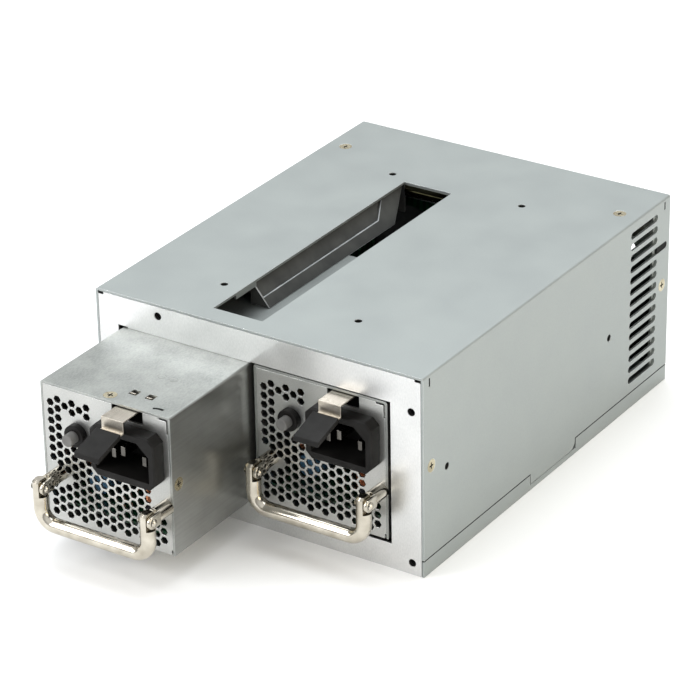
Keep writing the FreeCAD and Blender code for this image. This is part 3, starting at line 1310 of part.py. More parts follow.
HOUSING_PIECES = (
    base_tray, front_plate, rear_panel, top_cover, bay_floor, bay_divider, bay_deck, duct_liner,
    backplane_board, backplane_sockets, backplane_standoffs, backplane_screws, output_headers,
    output_capacitors, alarm_buzzer, outlet_grommet, housing_screws,
)
MODULE_PIECES = (
    module_tray, front_panel, module_cover, cover_screws, inlet_body, inlet_pins, latch_spring,
    latch_tab, latch_anchor, button_bezel, button_plunger, handle_posts, handle_bail, handle_pins,
    fan_frame, fan_rotor, circuit_board, heat_sinks, bulk_capacitor, transformer, line_filter,
)


def save(shape, name, offset):
    placed = shape.copy()
    placed.translate(offset)
    placed.exportStep("parts/" + name + ".step")


def main():
    os.makedirs("parts", exist_ok=True)
    for piece in HOUSING_PIECES:
        save(piece(), piece.__name__, vector(0, FRONT_Y, 0))
    for piece in MODULE_PIECES:
        shape = piece()
        for side, (x, y) in MODULE_PLACES.items():
            save(shape, side + "_" + piece.__name__, vector(x, y, MODULE_UNDERSIDE))


main()
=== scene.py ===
import json
import math

import bmesh
import bpy
from bpy.props import FloatProperty, FloatVectorProperty, PointerProperty
from mathutils import Matrix, Vector


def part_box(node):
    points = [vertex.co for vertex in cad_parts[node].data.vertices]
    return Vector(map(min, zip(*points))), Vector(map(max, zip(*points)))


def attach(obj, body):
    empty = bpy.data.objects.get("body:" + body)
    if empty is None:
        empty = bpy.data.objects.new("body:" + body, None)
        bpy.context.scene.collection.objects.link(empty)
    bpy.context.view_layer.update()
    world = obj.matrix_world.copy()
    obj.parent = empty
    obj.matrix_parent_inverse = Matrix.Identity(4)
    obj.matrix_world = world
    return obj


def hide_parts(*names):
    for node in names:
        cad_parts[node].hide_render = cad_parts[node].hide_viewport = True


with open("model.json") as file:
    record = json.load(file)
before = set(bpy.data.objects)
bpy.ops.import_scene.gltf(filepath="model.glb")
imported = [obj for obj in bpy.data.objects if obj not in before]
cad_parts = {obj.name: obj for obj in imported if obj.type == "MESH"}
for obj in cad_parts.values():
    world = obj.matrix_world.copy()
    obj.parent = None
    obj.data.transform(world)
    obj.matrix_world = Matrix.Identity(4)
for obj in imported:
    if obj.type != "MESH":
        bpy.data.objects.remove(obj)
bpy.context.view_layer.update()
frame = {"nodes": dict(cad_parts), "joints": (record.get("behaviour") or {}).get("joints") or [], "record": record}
NODES = frame["nodes"]
RECORD = frame["record"]

bl_info = {
    "name": "Hot Swap Server Power Supply",
    "version": (1, 0, 0),
    "blender": (4, 5, 0),
    "location": "3D View > Sidebar > Power Supply",
    "description": "Dresses the packed power supply with its finishes, fine pieces and studio",
    "category": "Object",
}

MM = 0.001
SIDES = ("left", "right")

# ---- Places on the housing in millimetres, with the front face, top and sides read from the frame ----
FRONT_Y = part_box("front_plate")[0].y / MM
COVER_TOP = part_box("top_cover")[1].z / MM
COVER_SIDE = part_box("top_cover")[1].x / MM
HOUSING = "housing"
OPENING_ABOVE = 0.5
LIP_INSET = 2.5
LIP_BACK = 0.8
LIP_CLEARANCE = 0.08
SLOT_LEFT_X = -25.0
SLOT_RIGHT_X = -2.5
SLOT_END_Y = 145.3
RETURN_LEFT_X = -36.0
RETURN_LOW = 70.0
RETURN_HIGH = COVER_TOP - 1.3
REAR_LIP_LOW = COVER_TOP - 5.8
REAR_LIP_HIGH = COVER_TOP - 1.1
BEAD_LOW = COVER_TOP - 3.8
BEAD_HIGH = COVER_TOP - 3.3
TRAY_SEAM_LOW = 4.0
TOP_HOLES_X = (-33.3, 28.2)
TOP_HOLES_Y = (28.0, 149.5)
SIDE_HOLES_Y = (16.5, 140.5)
SIDE_HOLES_Z = 40.3
COVER_HOLE_RADIUS = 1.5
FRONT_HOLES = ((-69.0, 5.0), (69.0, 5.0), (69.0, 69.0), (-45.0, 79.0))
FRONT_HOLE_RADIUS = 1.6
THREAD_PITCH = 0.5

# ---- Fine openings in the sheets, in millimetres ----
SHEET = 1.0
REAR_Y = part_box("top_cover")[1].y / MM
SLIT_INSET = 4.5
SLIT_TOP = COVER_TOP - 1.5
SLIT_WIDTH = 1.0
SLIT_HEIGHT = 3.5
LONG_VENT_Z = 63.0
LONG_VENT_START = 10.2
LONG_VENT_END = 2.0
LONG_VENT_HEIGHT = 3.0
# Painted shade: the dark blocks behind the corner slits and the long vents' ends.
SHADE_BELOW_FACE = 0.2
SHADE_BORDER = 0.3
# A dark sheet of painted shade behind the rear panel.
SHADE_SHEET_SPANS = ((-70.0, -22.0), (22.0, 70.0))
SHADE_SHEET_LOW = 6.0
SHADE_SHEET_HIGH = 52.5

# ---- Details of a module in millimetres, placed from the lower left front corner of its cover ----
RING_X = (38.3, 44.2)
RING_Y = 23.5
RING_PROFILE = ((2.2, 0.0), (2.4, 0.03), (2.6, 0.03), (2.8, 0.0))
RELIEF_CENTRE = (52.6, -1.4)
RELIEF_OUTER = (-3.3, 5.3)
RELIEF_INNER = (-2.65, 4.25)
RELIEF_SWEEP = math.radians(46)
LEAD_SPACING = 2.4
LEAD_RADIUS = 0.95
CHOKE_FLANGE = 0.9
COIL_START_SHARE = 0.55
COIL_BELOW_TOP = 1.4
COIL_PITCH = 0.75
WIRE_ACROSS = 0.7
FINGERS = 16
FINGER_PITCH = 2.4
FINGER_WIDTH = 1.6
WHEEL_DEPTH = 19.0
WHEEL_HUB = 9.5
WHEEL_SHAFT = 1.5
BLADES = 7
BLADE_THICK = 0.8

# ---- The camera: azimuth, elevation and roll in degrees, and its place in metres ----
CAMERA_TURN = (33.394, 26.928, -0.988)
CAMERA_PLACE = (0.65910, -1.03011, 0.65660)

# ---- The lap joint between each handle end and its post, in millimetres from the rod's centre ----
LAP_FACE = 1.2
LAP_BELOW = 3.3
LAP_GAP = 0.1
TONGUE_RADIUS = 2.7
TONGUE_BACK = 4.9
SHOULDER_BACK = 4.58


# ---- Colour and material helpers ----
def srgb(code):
    """Linear red, green and blue from an sRGB hex code."""
    linear = []
    for start in (1, 3, 5):
        value = int(code[start:start + 2], 16) / 255
        linear.append(value / 12.92 if value <= 0.04045 else ((value + 0.055) / 1.055) ** 2.4)
    return tuple(linear)


def opaque(colour):
    return (*colour[:3], 1.0)


def add(tree, kind, inputs=None, **settings):
    """Adds a node, sets its settings and fills or links its inputs."""
    node = tree.nodes.new(kind)
    for name, value in settings.items():
        setattr(node, name, value)
    for name, value in (inputs or {}).items():
        socket = node.inputs[name]
        if isinstance(value, bpy.types.NodeSocket):
            tree.links.new(value, socket)
        else:
            socket.default_value = value
    return node


def start_material(name):
    material = bpy.data.materials.new(name)
    material.use_nodes = True
    material.node_tree.nodes.clear()
    return material, material.node_tree


def finish_material(tree, inputs):
    shader = add(tree, "ShaderNodeBsdfPrincipled", inputs)
    add(tree, "ShaderNodeOutputMaterial", {"Surface": shader.outputs["BSDF"]})


def per_mm(size):
    """The noise scale whose features are about this many millimetres across."""
    return 1.0 / (size * MM)


def pattern(tree, size, detail=2.0, stretch=(1.0, 1.0, 1.0), roughness=0.5):
    """Noise on the object's own coordinates, with features of a size in millimetres."""
    place = add(tree, "ShaderNodeTexCoord")
    mapping = add(tree, "ShaderNodeMapping", {"Vector": place.outputs["Object"], "Scale": stretch})
    noise = add(tree, "ShaderNodeTexNoise", {"Vector": mapping.outputs["Vector"], "Scale": per_mm(size),
                                             "Detail": detail, "Roughness": roughness})
    return noise.outputs["Fac"]


def spread(tree, value, low, high, start=0.3, end=0.7):
    """Maps the middle of a pattern onto a range."""
    ranged = add(tree, "ShaderNodeMapRange", {"Value": value, "From Min": start, "From Max": end,
                                              "To Min": low, "To Max": high})
    return ranged.outputs["Result"]


def tint(tree, fac, dark, light):
    mixed = add(tree, "ShaderNodeMix", {0: fac, 6: opaque(dark), 7: opaque(light)}, data_type="RGBA")
    return mixed.outputs[2]


# ---- Finishes ----
def plated_sheet(name, dark, light, rough, stretch=(1.0, 1.0, 1.0)):
    """Zinc-plated steel sheet: cool grey, finely grained, with soft cloudy handling marks."""
    material, tree = start_material(name)
    # The rolled grain is about 0.1 mm wide. It is drawn at 0.5 mm, so that it shows.
    grain = pattern(tree, 0.5, 3.0, stretch, 0.6)
    # Cloudy marks some 18 mm across come from oil and handling.
    cloud = pattern(tree, 18.0, 3.0)
    both = add(tree, "ShaderNodeMath", {0: grain, 1: cloud}, operation="ADD")
    colour = tint(tree, spread(tree, both.outputs["Value"], 0.0, 1.0, 0.6, 1.4), dark, light)
    bump = add(tree, "ShaderNodeBump", {"Height": grain, "Strength": 0.12, "Distance": 0.06 * MM})
    finish_material(tree, {"Base Color": colour, "Metallic": 0.9,
                           "Roughness": spread(tree, cloud, rough - 0.02, rough + 0.03),
                           "Normal": bump.outputs["Normal"]})
    return material


def side_shaded_cover(name, dark, light, side_shade_dark, side_shade_light, rough):
    """Zinc-plated cover whose sides are darker and streaked: painted shade and painted reflection, with some rub
    marks.
    """
    material, tree = start_material(name)
    place = add(tree, "ShaderNodeTexCoord")
    parts = add(tree, "ShaderNodeSeparateXYZ", {"Vector": place.outputs["Normal"]})
    across = add(tree, "ShaderNodeMath", {0: parts.outputs["X"]}, operation="ABSOLUTE")
    # The sides, found by their normal, get painted shade.
    side = spread(tree, across.outputs["Value"], 0.0, 1.0, 0.3, 0.8)
    # The rolled grain is about 0.1 mm wide. It is drawn at 0.5 mm, so that it shows.
    grain = pattern(tree, 0.5, 3.0, (1.0, 0.4, 1.0), 0.6)
    # Handling leaves cloudy marks some 12 mm across.
    cloud = pattern(tree, 12.0, 3.0)
    # Streaks about 1 mm high and tens of millimetres long, partly rub marks from sliding along the bay and partly
    # painted reflection.
    rub_and_reflection_streak = pattern(tree, 1.2, 3.0, (1.0, 0.03, 1.0), 0.6)
    both = add(tree, "ShaderNodeMath", {0: grain, 1: cloud}, operation="ADD")
    side_shade_pattern = add(tree, "ShaderNodeMath", {0: rub_and_reflection_streak, 1: cloud}, operation="ADD")
    top_tone = tint(tree, spread(tree, both.outputs["Value"], 0.0, 1.0, 0.6, 1.4), dark, light)
    shaded_side_tone = tint(tree, spread(tree, side_shade_pattern.outputs["Value"], 0.0, 1.0, 0.5, 1.5), side_shade_dark, side_shade_light)
    colour = add(tree, "ShaderNodeMix", {0: side, 6: top_tone, 7: shaded_side_tone}, data_type="RGBA")
    bump = add(tree, "ShaderNodeBump", {"Height": both.outputs["Value"], "Strength": 0.12,
                                        "Distance": 0.06 * MM})
    # The top is more matt than the sides, which mirror what stands beside them.
    matt = spread(tree, across.outputs["Value"], rough + 0.14, rough - 0.02)
    finish_material(tree, {"Base Color": colour.outputs[2], "Metallic": 0.9, "Roughness": matt,
                           "Normal": bump.outputs["Normal"]})
    return material


def plated_bright(name, dark, light, rough):
    """Bright metal, plated or bare: mirror-like, with a few fine rub marks."""
    material, tree = start_material(name)
    # Rub marks are hairlines. They are drawn 0.3 mm wide.
    rub = pattern(tree, 0.3, 2.0, (0.15, 1.0, 1.0))
    cloud = pattern(tree, 6.0)
    bump = add(tree, "ShaderNodeBump", {"Height": rub, "Strength": 0.05, "Distance": 0.02 * MM})
    colour = tint(tree, spread(tree, cloud, 0.0, 1.0), dark, light)
    finish_material(tree, {"Base Color": colour, "Metallic": 1.0,
                           "Roughness": spread(tree, rub, rough - 0.04, rough + 0.06),
                           "Normal": bump.outputs["Normal"]})
    return material


def moulded_plastic(name, dark, light, rough, grain_mm=0.25, ior=1.22):
    """Injection-moulded plastic: an even colour with a fine spark-eroded grain."""
    material, tree = start_material(name)
    # Mould grain is about 0.05 mm. It is drawn coarser, so that it breaks up the gloss.
    grain = pattern(tree, grain_mm, 2.0)
    cloud = pattern(tree, 8.0, 2.0)
    bump = add(tree, "ShaderNodeBump", {"Height": grain, "Strength": 0.25, "Distance": 0.04 * MM})
    finish_material(tree, {"Base Color": tint(tree, spread(tree, cloud, 0.0, 1.0), dark, light), "IOR": ior,
                           "Roughness": spread(tree, grain, rough - 0.06, rough + 0.08),
                           "Normal": bump.outputs["Normal"]})
    return material


def solder_mask(name, dark, light):
    """Green solder mask over glass-fibre laminate: glossy, with copper tracks showing beneath."""
    material, tree = start_material(name)
    place = add(tree, "ShaderNodeTexCoord")
    # Tracks run in bands about 1.6 mm apart.
    tracks = add(tree, "ShaderNodeTexWave", {"Vector": place.outputs["Object"], "Scale": per_mm(10.0),
                                             "Distortion": 6.0, "Detail": 1.0, "Detail Scale": 0.4})
    colour = tint(tree, spread(tree, tracks.outputs["Fac"], 0.0, 1.0, 0.45, 0.55), dark, light)
    bump = add(tree, "ShaderNodeBump", {"Height": tracks.outputs["Fac"], "Strength": 0.2,
                                        "Distance": 0.03 * MM})
    finish_material(tree, {"Base Color": colour, "Roughness": 0.28, "IOR": 1.5,
                           "Normal": bump.outputs["Normal"]})
    return material


def studio_paper(name, colour):
    """Matte seamless paper, with a tooth too fine to see."""
    material, tree = start_material(name)
    tooth = pattern(tree, 1.5)
    bump = add(tree, "ShaderNodeBump", {"Height": tooth, "Strength": 0.02, "Distance": 0.05 * MM})
    finish_material(tree, {"Base Color": opaque(colour), "Roughness": 0.9, "Normal": bump.outputs["Normal"]})
    return material


FINISHES = {}


def finish(name):
    """The material of a name, made the first time that it is asked for."""
    if name not in FINISHES:
        colours = bpy.context.scene.psu_colours
        makers = {
            "zinc_sheet": lambda: plated_sheet(name, colours.zinc_dark, colours.zinc_light, 0.52),
            # Darker copies of the zinc: painted shade inside the bay and on its deck.
            "shaded_bay_sheet": lambda: plated_sheet(name, srgb("#5A5D5C"), srgb("#686B69"), 0.55),
            "shaded_deck_sheet": lambda: plated_sheet(name, srgb("#8C908F"), srgb("#979C9A"), 0.50),
            "front_sheet": lambda: plated_sheet(name, colours.front_dark, colours.front_light, 0.30,
                                                (1.0, 1.0, 0.4)),
            "module_sheet": lambda: plated_sheet(name, colours.module_dark, colours.module_light, 0.32,
                                                 (1.0, 0.3, 1.0)),
            "satin_strip": lambda: plated_sheet(name, srgb("#A39C90"), srgb("#CBC4B8"), 0.28,
                                                (1.0, 0.1, 1.0)),
            # The two darker colours paint shade and reflection on the modules' sides.
            "cover_sheet": lambda: side_shaded_cover(name, colours.module_dark, colours.module_light,
                                                srgb("#8A8B88"), srgb("#A1A29F"), 0.30),
            # Cut edges: partly the bare steel's own brighter tone, partly a painted highlight along each edge.
            "cut_edge_highlight": lambda: plated_bright(name, srgb("#D2D3D1"), srgb("#F2F2F0"), 0.30),
            # A painted highlight along the duct liner's folds.
            "fold_highlight": lambda: plated_bright(name, srgb("#8A8D8E"), srgb("#B4B7B8"), 0.34),
            # Dark olive: painted shade and a painted reflection of the dark duct, on the slot's rear lip.
            "shaded_steel": lambda: plated_bright(name, srgb("#4B4A3C"), srgb("#6A6854"), 0.16),
            "thread_shadow": lambda: plated_bright(name, srgb("#191918"), srgb("#2C2C2B"), 0.5),
            "panel_sheet": lambda: plated_sheet(name, colours.panel_dark, colours.panel_light, 0.32),
            # Tinned pins, darkened to grey: painted shade inside the inlet's cavity.
            "shaded_tinned_pin": lambda: plated_bright(name, srgb("#4F4D4A"), srgb("#6C6965"), 0.22),
            "nickel_plate": lambda: plated_bright(name, colours.nickel_dark, colours.nickel_light, 0.14),
            "yellow_zinc": lambda: plated_bright(name, colours.screw_dark, colours.screw_light, 0.26),
            "extruded_aluminium": lambda: plated_bright(name, srgb("#9DA0A3"), srgb("#B9BCBE"), 0.35),
            "enamelled_copper": lambda: plated_bright(name, srgb("#94583A"), srgb("#BE8260"), 0.30),
            "gold_plate": lambda: plated_bright(name, srgb("#C9A24A"), srgb("#E2C06A"), 0.22),
            "black_moulding": lambda: moulded_plastic(name, srgb("#151413"), colours.black_plastic, 0.42),
            "black_sheet": lambda: moulded_plastic(name, srgb("#404140"), colours.liner_black, 0.38, 0.4),
            "black_rubber": lambda: moulded_plastic(name, srgb("#161617"), srgb("#202021"), 0.70),
            "grey_button": lambda: moulded_plastic(name, srgb("#6A6967"), colours.grey_plastic, 0.45),
            "white_nylon": lambda: moulded_plastic(name, srgb("#CFCDBE"), srgb("#DEDCCF"), 0.45),
            "amber_tape": lambda: moulded_plastic(name, srgb("#B87414"), srgb("#D99A2B"), 0.25),
            "dark_ferrite": lambda: moulded_plastic(name, srgb("#26262A"), srgb("#333338"), 0.60),
            "blue_sleeve": lambda: moulded_plastic(name, colours.sleeve_blue, srgb("#6E9BBD"), 0.25),
            "slit_shadow": lambda: moulded_plastic(name, srgb("#1A1B1B"), srgb("#242525"), 0.8),
            "green_board": lambda: solder_mask(name, colours.board_green, srgb("#154A2C")),
        }
        FINISHES[name] = makers[name]()
    return FINISHES[name]


# ---- Piece helpers ----
BODY_OF = {node: body for body, nodes in RECORD["behaviour"]["bodies"].items() for node in nodes}
JOINT_AT = {joint["name"]: Vector(joint["pos_m"]) for joint in frame["joints"] if "pos_m" in joint}


def dress(node, finish_name):
    """Gives a CAD node, whose shape stays, its finish."""
    slots = NODES[node].data.materials
    slots.clear()
    slots.append(finish(finish_name))


def shade(mesh, degrees=32):
    """Smooth shading, with edges sharper than an angle kept crisp."""
    mesh.shade_smooth()
    mesh.set_sharp_from_angle(angle=math.radians(degrees))


def place_piece(name, bm, body, finish_name, replaced=()):
    """Turns a finished bmesh into a piece that rides on a body."""
    mesh = bpy.data.meshes.new(name)
    bm.to_mesh(mesh)
    bm.free()
    shade(mesh)
    mesh.materials.append(finish(finish_name))
    made = bpy.data.objects.new(name, mesh)
    bpy.context.scene.collection.objects.link(made)
    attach(made, body)
    if replaced:
        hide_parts(*replaced)
    return made


def follow_flats(mesh):
    """Normals weighted by area, so that a rolled edge doesn't shade the flats beside it."""
    bm = bmesh.new()
    bm.from_mesh(mesh)
    area = [face.calc_area() for face in bm.faces]
    normals = []
    for face in bm.faces:
        for loop in face.loops:
            total = Vector()
            for other in loop.vert.link_faces:
                if other.normal.dot(face.normal) > 0.64:
                    total += other.normal * area[other.index]
            normals.append(total.normalized() if total.length else face.normal)
    bm.free()
    mesh.normals_split_custom_set(normals)


def rolled(node, finish_name, width, segments=2, edge_finish=None, edge_above=None):
    """A copy of a CAD node with its edges rolled by a width in millimetres, in its place.

    The rolled edges can have a finish of their own, all of them or those above a height.
    """
    bm = bmesh.new()
    bm.from_mesh(NODES[node].data)
    bmesh.ops.remove_doubles(bm, verts=bm.verts, dist=0.002 * MM)
    bmesh.ops.dissolve_limit(bm, angle_limit=math.radians(0.5), verts=bm.verts, edges=bm.edges)
    sharp = [edge for edge in bm.edges if edge.is_manifold and edge.calc_face_angle() > math.radians(35)]
    if edge_finish:
        sharp = [edge for edge in sharp if edge.is_convex]
    rolls = bmesh.ops.bevel(bm, geom=sharp, offset=width * MM, offset_type="OFFSET", segments=segments,
                            profile=0.5, affect="EDGES", clamp_overlap=True, material=-1)["faces"]
    for face in rolls:
        high = edge_above is None or face.calc_center_median().z > edge_above * MM
        face.material_index = 1 if edge_finish and high else 0
    made = place_piece(node + "_rolled", bm, BODY_OF[node], finish_name, (node,))
    if edge_finish:
        made.data.materials.append(finish(edge_finish))
    made.data.shade_smooth()
    follow_flats(made.data)
    return made


def block(bm, low, high):
    """Adds a box between two corners to a bmesh and returns its vertices."""
    low, high = Vector(low), Vector(high)
    size = high - low
    shape = Matrix.Translation((low + high) / 2) @ Matrix.Diagonal((*size, 1.0))
    return bmesh.ops.create_cube(bm, size=1.0, matrix=shape)["verts"]


def put_in_order(bm):
    """Puts the parts of a mesh in order of place. Spin and extrude leave them in any order."""
    def by_corners(part):
        return sorted(vert.index for vert in part.verts)

    for parts, place in ((bm.verts, lambda vert: tuple(vert.co)), (bm.edges, by_corners),
                         (bm.faces, by_corners)):
        rank = {part: number for number, part in enumerate(sorted(parts, key=place))}
        parts.sort(key=rank.get)
        parts.index_update()


def each_once(parts):
    """The parts of a mesh without repeats, in the order they come."""
    return list(dict.fromkeys(parts))


def turned(bm, profile, centre, axis, steps=32):
    """Spins a profile of (radius, distance along the axis) in millimetres about an axis."""
    axis = Vector(axis)
    side = axis.orthogonal().normalized()
    points = [bm.verts.new(centre + side * (radius * MM) + axis * (along * MM)) for radius, along in profile]
    edges = [bm.edges.new(pair) for pair in zip(points, points[1:])]
    bmesh.ops.spin(bm, geom=points + edges, cent=centre, axis=axis, angle=math.tau, steps=steps,
                   use_merge=True)
    bmesh.ops.remove_doubles(bm, verts=bm.verts, dist=0.001 * MM)
    bmesh.ops.recalc_face_normals(bm, faces=bm.faces)
    put_in_order(bm)


def wire_piece(name, points, radius, body, finish_name):
    """A fixed lead along a smooth curve through given points."""
    curve = bpy.data.curves.new(name, "CURVE")
    curve.dimensions = "3D"
    curve.bevel_depth = radius * MM
    curve.bevel_resolution = 4
    curve.use_fill_caps = True
    spline = curve.splines.new("NURBS")
    spline.points.add(len(points) - 1)
    for spot, point in zip(spline.points, points):
        spot.co = (*point, 1.0)
    spline.order_u = 3
    spline.use_endpoint_u = True
    draft = bpy.data.objects.new(name + "_line", curve)
    mesh = bpy.data.meshes.new_from_object(draft)
    bpy.data.objects.remove(draft)
    bm = bmesh.new()
    bm.from_mesh(mesh)
    bpy.data.meshes.remove(mesh)
    return place_piece(name, bm, body, finish_name)


def module_origin(side):
    """The lower left front corner of a module."""
    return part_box(side + "_module_cover")[0]


def at(origin, x, y, z):
    """A point given in millimetres from an origin in metres."""
    return origin + Vector((x, y, z)) * MM


# ---- Sizes and colours that a user would change ----
class PSUColours(bpy.types.PropertyGroup):
    """The main colours of the finishes."""

    zinc_dark: FloatVectorProperty(name="Housing steel, dark", description="Darker tone of the housing",
                                   default=srgb("#9FA4A3"), subtype="COLOR", min=0, max=1)
    zinc_light: FloatVectorProperty(name="Housing steel, light", description="Lighter tone of the housing",
                                    default=srgb("#A8ADAB"), subtype="COLOR", min=0, max=1)
    front_dark: FloatVectorProperty(name="Front plate, dark", description="Darker tone of the front plate",
                                    default=srgb("#CBCCCB"), subtype="COLOR", min=0, max=1)
    front_light: FloatVectorProperty(name="Front plate, light", description="Lighter tone of the front plate",
                                     default=srgb("#E5E5E4"), subtype="COLOR", min=0, max=1)
    module_dark: FloatVectorProperty(name="Module steel, dark", description="Darker tone of the modules",
                                     default=srgb("#8B8E8B"), subtype="COLOR", min=0, max=1)
    module_light: FloatVectorProperty(name="Module steel, light", description="Lighter tone of the modules",
                                      default=srgb("#AEB0AC"), subtype="COLOR", min=0, max=1)
    panel_dark: FloatVectorProperty(name="Module panel, dark",
                                    description="Darker tone of the perforated panels",
                                    default=srgb("#A2A3A0"), subtype="COLOR", min=0, max=1)
    panel_light: FloatVectorProperty(name="Module panel, light",
                                     description="Lighter tone of the perforated panels",
                                     default=srgb("#C4C4C1"), subtype="COLOR", min=0, max=1)
    nickel_dark: FloatVectorProperty(name="Handle nickel, dark", description="Darker tone of the handles",
                                     default=srgb("#AEA799"), subtype="COLOR", min=0, max=1)
    nickel_light: FloatVectorProperty(name="Handle nickel, light", description="Lighter tone of the handles",
                                      default=srgb("#D0CABD"), subtype="COLOR", min=0, max=1)
    screw_dark: FloatVectorProperty(name="Screws, dark", description="Darker tone of the screws",
                                    default=srgb("#9A9076"), subtype="COLOR", min=0, max=1)
    screw_light: FloatVectorProperty(name="Screws, light", description="Lighter tone of the screws",
                                     default=srgb("#CCC4AA"), subtype="COLOR", min=0, max=1)
    black_plastic: FloatVectorProperty(name="Black plastic", description="Inlets, tabs, bezels and fans",
                                       default=srgb("#21201F"), subtype="COLOR", min=0, max=1)
    liner_black: FloatVectorProperty(name="Duct liner", description="The creased sheet in the top slot",
                                     default=srgb("#4D4E4C"), subtype="COLOR", min=0, max=1)
    grey_plastic: FloatVectorProperty(name="Push-button", description="The grey plungers",
                                      default=srgb("#7C7B78"), subtype="COLOR", min=0, max=1)
    sleeve_blue: FloatVectorProperty(name="Capacitor sleeve", description="The blue capacitors",
                                     default=srgb("#5C86A6"), subtype="COLOR", min=0, max=1)
    board_green: FloatVectorProperty(name="Circuit boards", description="The solder mask",
                                     default=srgb("#0B2A19"), subtype="COLOR", min=0, max=1)
    paper: FloatVectorProperty(name="Floor", description="The studio paper",
                               default=srgb("#FCFCFC"), subtype="COLOR", min=0, max=1)


class PSUSizes(bpy.types.PropertyGroup):
    """The sizes of the fine detail."""

    sheet_roll: FloatProperty(name="Sheet edge", description="Width of a sheet's edge, in millimetres",
                              default=0.2, min=0.02, max=0.4, unit="NONE")
    mould_roll: FloatProperty(name="Moulded edge", description="Width of a moulding's edge, in millimetres",
                              default=0.45, min=0.05, max=0.8, unit="NONE")
    handle_bend: FloatProperty(name="Handle bend", description="Bend radius of the bail's rod, in metres",
                               default=0.0065, min=0.004, max=0.01, unit="LENGTH")
    lens: FloatProperty(name="Lens", description="Camera lens, in millimetres",
                        default=175.64, min=50, max=300, unit="CAMERA")


# ---- Operators ----
class PieceOperator:
    """What every operator here shares."""

    bl_options = {"REGISTER", "UNDO"}


class PSU_OT_sheet_metal(PieceOperator, bpy.types.Operator):
    """Finishes the bent sheets, and adds the opening's lip, blocks of painted shade behind the slits and a dark
    sheet of painted shade behind the rear panel
    """

    bl_idname = "psu.sheet_metal"
    bl_label = "Sheet metal"

    def execute(self, context):
        width = context.scene.psu_sizes.sheet_roll
        for node in ("top_cover", "rear_panel"):
            rolled(node, "zinc_sheet", width, 1, "cut_edge_highlight")
        bm = bmesh.new()
        for side in (-1, 1):
            # Dark blocks of painted shade sit behind the corner slits and the long vents' ends, so that these read
            # black.
            near, far = sorted((side * (COVER_SIDE - SHADE_BELOW_FACE), side * (COVER_SIDE - SHEET + 0.05)))
            for y in (FRONT_Y + SLIT_INSET, REAR_Y - SLIT_INSET):
                half = SLIT_WIDTH / 2 + SHADE_BORDER
                block(bm, Vector((near, y - half, SLIT_TOP - SLIT_HEIGHT - SHADE_BORDER)) * MM,
                      Vector((far, y + half, SLIT_TOP + SHADE_BORDER)) * MM)
            half = LONG_VENT_HEIGHT / 2
            block(bm, Vector((near, REAR_Y - LONG_VENT_START, LONG_VENT_Z - half)) * MM,
                  Vector((far, REAR_Y - LONG_VENT_END, LONG_VENT_Z + half)) * MM)
        place_piece("slit_shade_blocks", bm, HOUSING, "slit_shadow")
        bm = bmesh.new()
        # A dark sheet of painted shade lines the rear panel's inside, clear of its hexagons and its opening, so
        # that the hexagons show dark.
        for left, right in SHADE_SHEET_SPANS:
            block(bm, Vector((left, REAR_Y - SHEET - 0.4, SHADE_SHEET_LOW)) * MM,
                  Vector((right, REAR_Y - SHEET - 0.05, SHADE_SHEET_HIGH)) * MM)
        place_piece("rear_shade_sheet", bm, HOUSING, "slit_shadow")
        # The tray's upper edges lie in the shadow of the seam below the cover.
        rolled("base_tray", "zinc_sheet", width, 1, "slit_shadow", TRAY_SEAM_LOW)
        rolled("front_plate", "front_sheet", width, 1, "cut_edge_highlight")
        # The bay's floor, divider and deck get the darker zinc as painted shade.
        for node in ("bay_floor", "bay_divider"):
            dress(node, "shaded_bay_sheet")
        dress("bay_deck", "shaded_deck_sheet")
        bm = bmesh.new()
        # A folded lip closes the gap above the pulled-out module.
        low, high = (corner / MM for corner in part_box("left_module_cover"))
        block(bm, Vector((low.x + LIP_INSET, FRONT_Y + 0.1, high.z + LIP_CLEARANCE)) * MM,
              Vector((high.x, FRONT_Y + LIP_BACK, high.z + OPENING_ABOVE)) * MM)
        place_piece("opening_lip", bm, HOUSING, "front_sheet")
        for side in SIDES:
            rolled(side + "_module_cover", "cover_sheet", width, 1)
            rolled(side + "_front_panel", "panel_sheet", width, 1, "cut_edge_highlight")
            dress(side + "_module_tray", "module_sheet")
        return {"FINISHED"}


class PSU_OT_stampings(PieceOperator, bpy.types.Operator):
    """Adds the pressed rings and the curved relief slit on each module's cover"""

    bl_idname = "psu.stampings"
    bl_label = "Stampings"

    def execute(self, context):
        for side in SIDES:
            origin = module_origin(side)
            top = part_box(side + "_module_cover")[1].z
            body = side + "_module"
            bm = bmesh.new()
            for x in RING_X:
                centre = at(origin, x, RING_Y, 0)
                centre.z = top
                turned(bm, RING_PROFILE, centre, (0, 0, 1), 24)
            place_piece(side + "_pressed_rings", bm, body, "cover_sheet")
            # The slit is drawn as a flat strip of painted shade on the cover's top.
            bm = bmesh.new()
            centre = at(origin, *RELIEF_CENTRE, 0)
            centre.z = top + 0.02 * MM
            start = bm.verts.new(centre + Vector((*RELIEF_OUTER, 0)) * MM)
            end = bm.verts.new(centre + Vector((*RELIEF_INNER, 0)) * MM)
            edge = bm.edges.new((start, end))
            bmesh.ops.spin(bm, geom=[start, end, edge], cent=centre, axis=(0, 0, -1), angle=RELIEF_SWEEP,
                           steps=10)
            place_piece(side + "_relief_slit", bm, body, "slit_shadow")
        return {"FINISHED"}


def darken_recesses(screws, low, high):
    """Puts what lies below the screws' faces in shadow, so that their cross recesses read."""
    screws.data.materials.append(finish("slit_shadow"))
    depth = 0.1 * MM
    for polygon in screws.data.polygons:
        spot = polygon.center
        if low.x + depth < spot.x < high.x - depth and spot.z < high.z - depth:
            polygon.material_index = 1


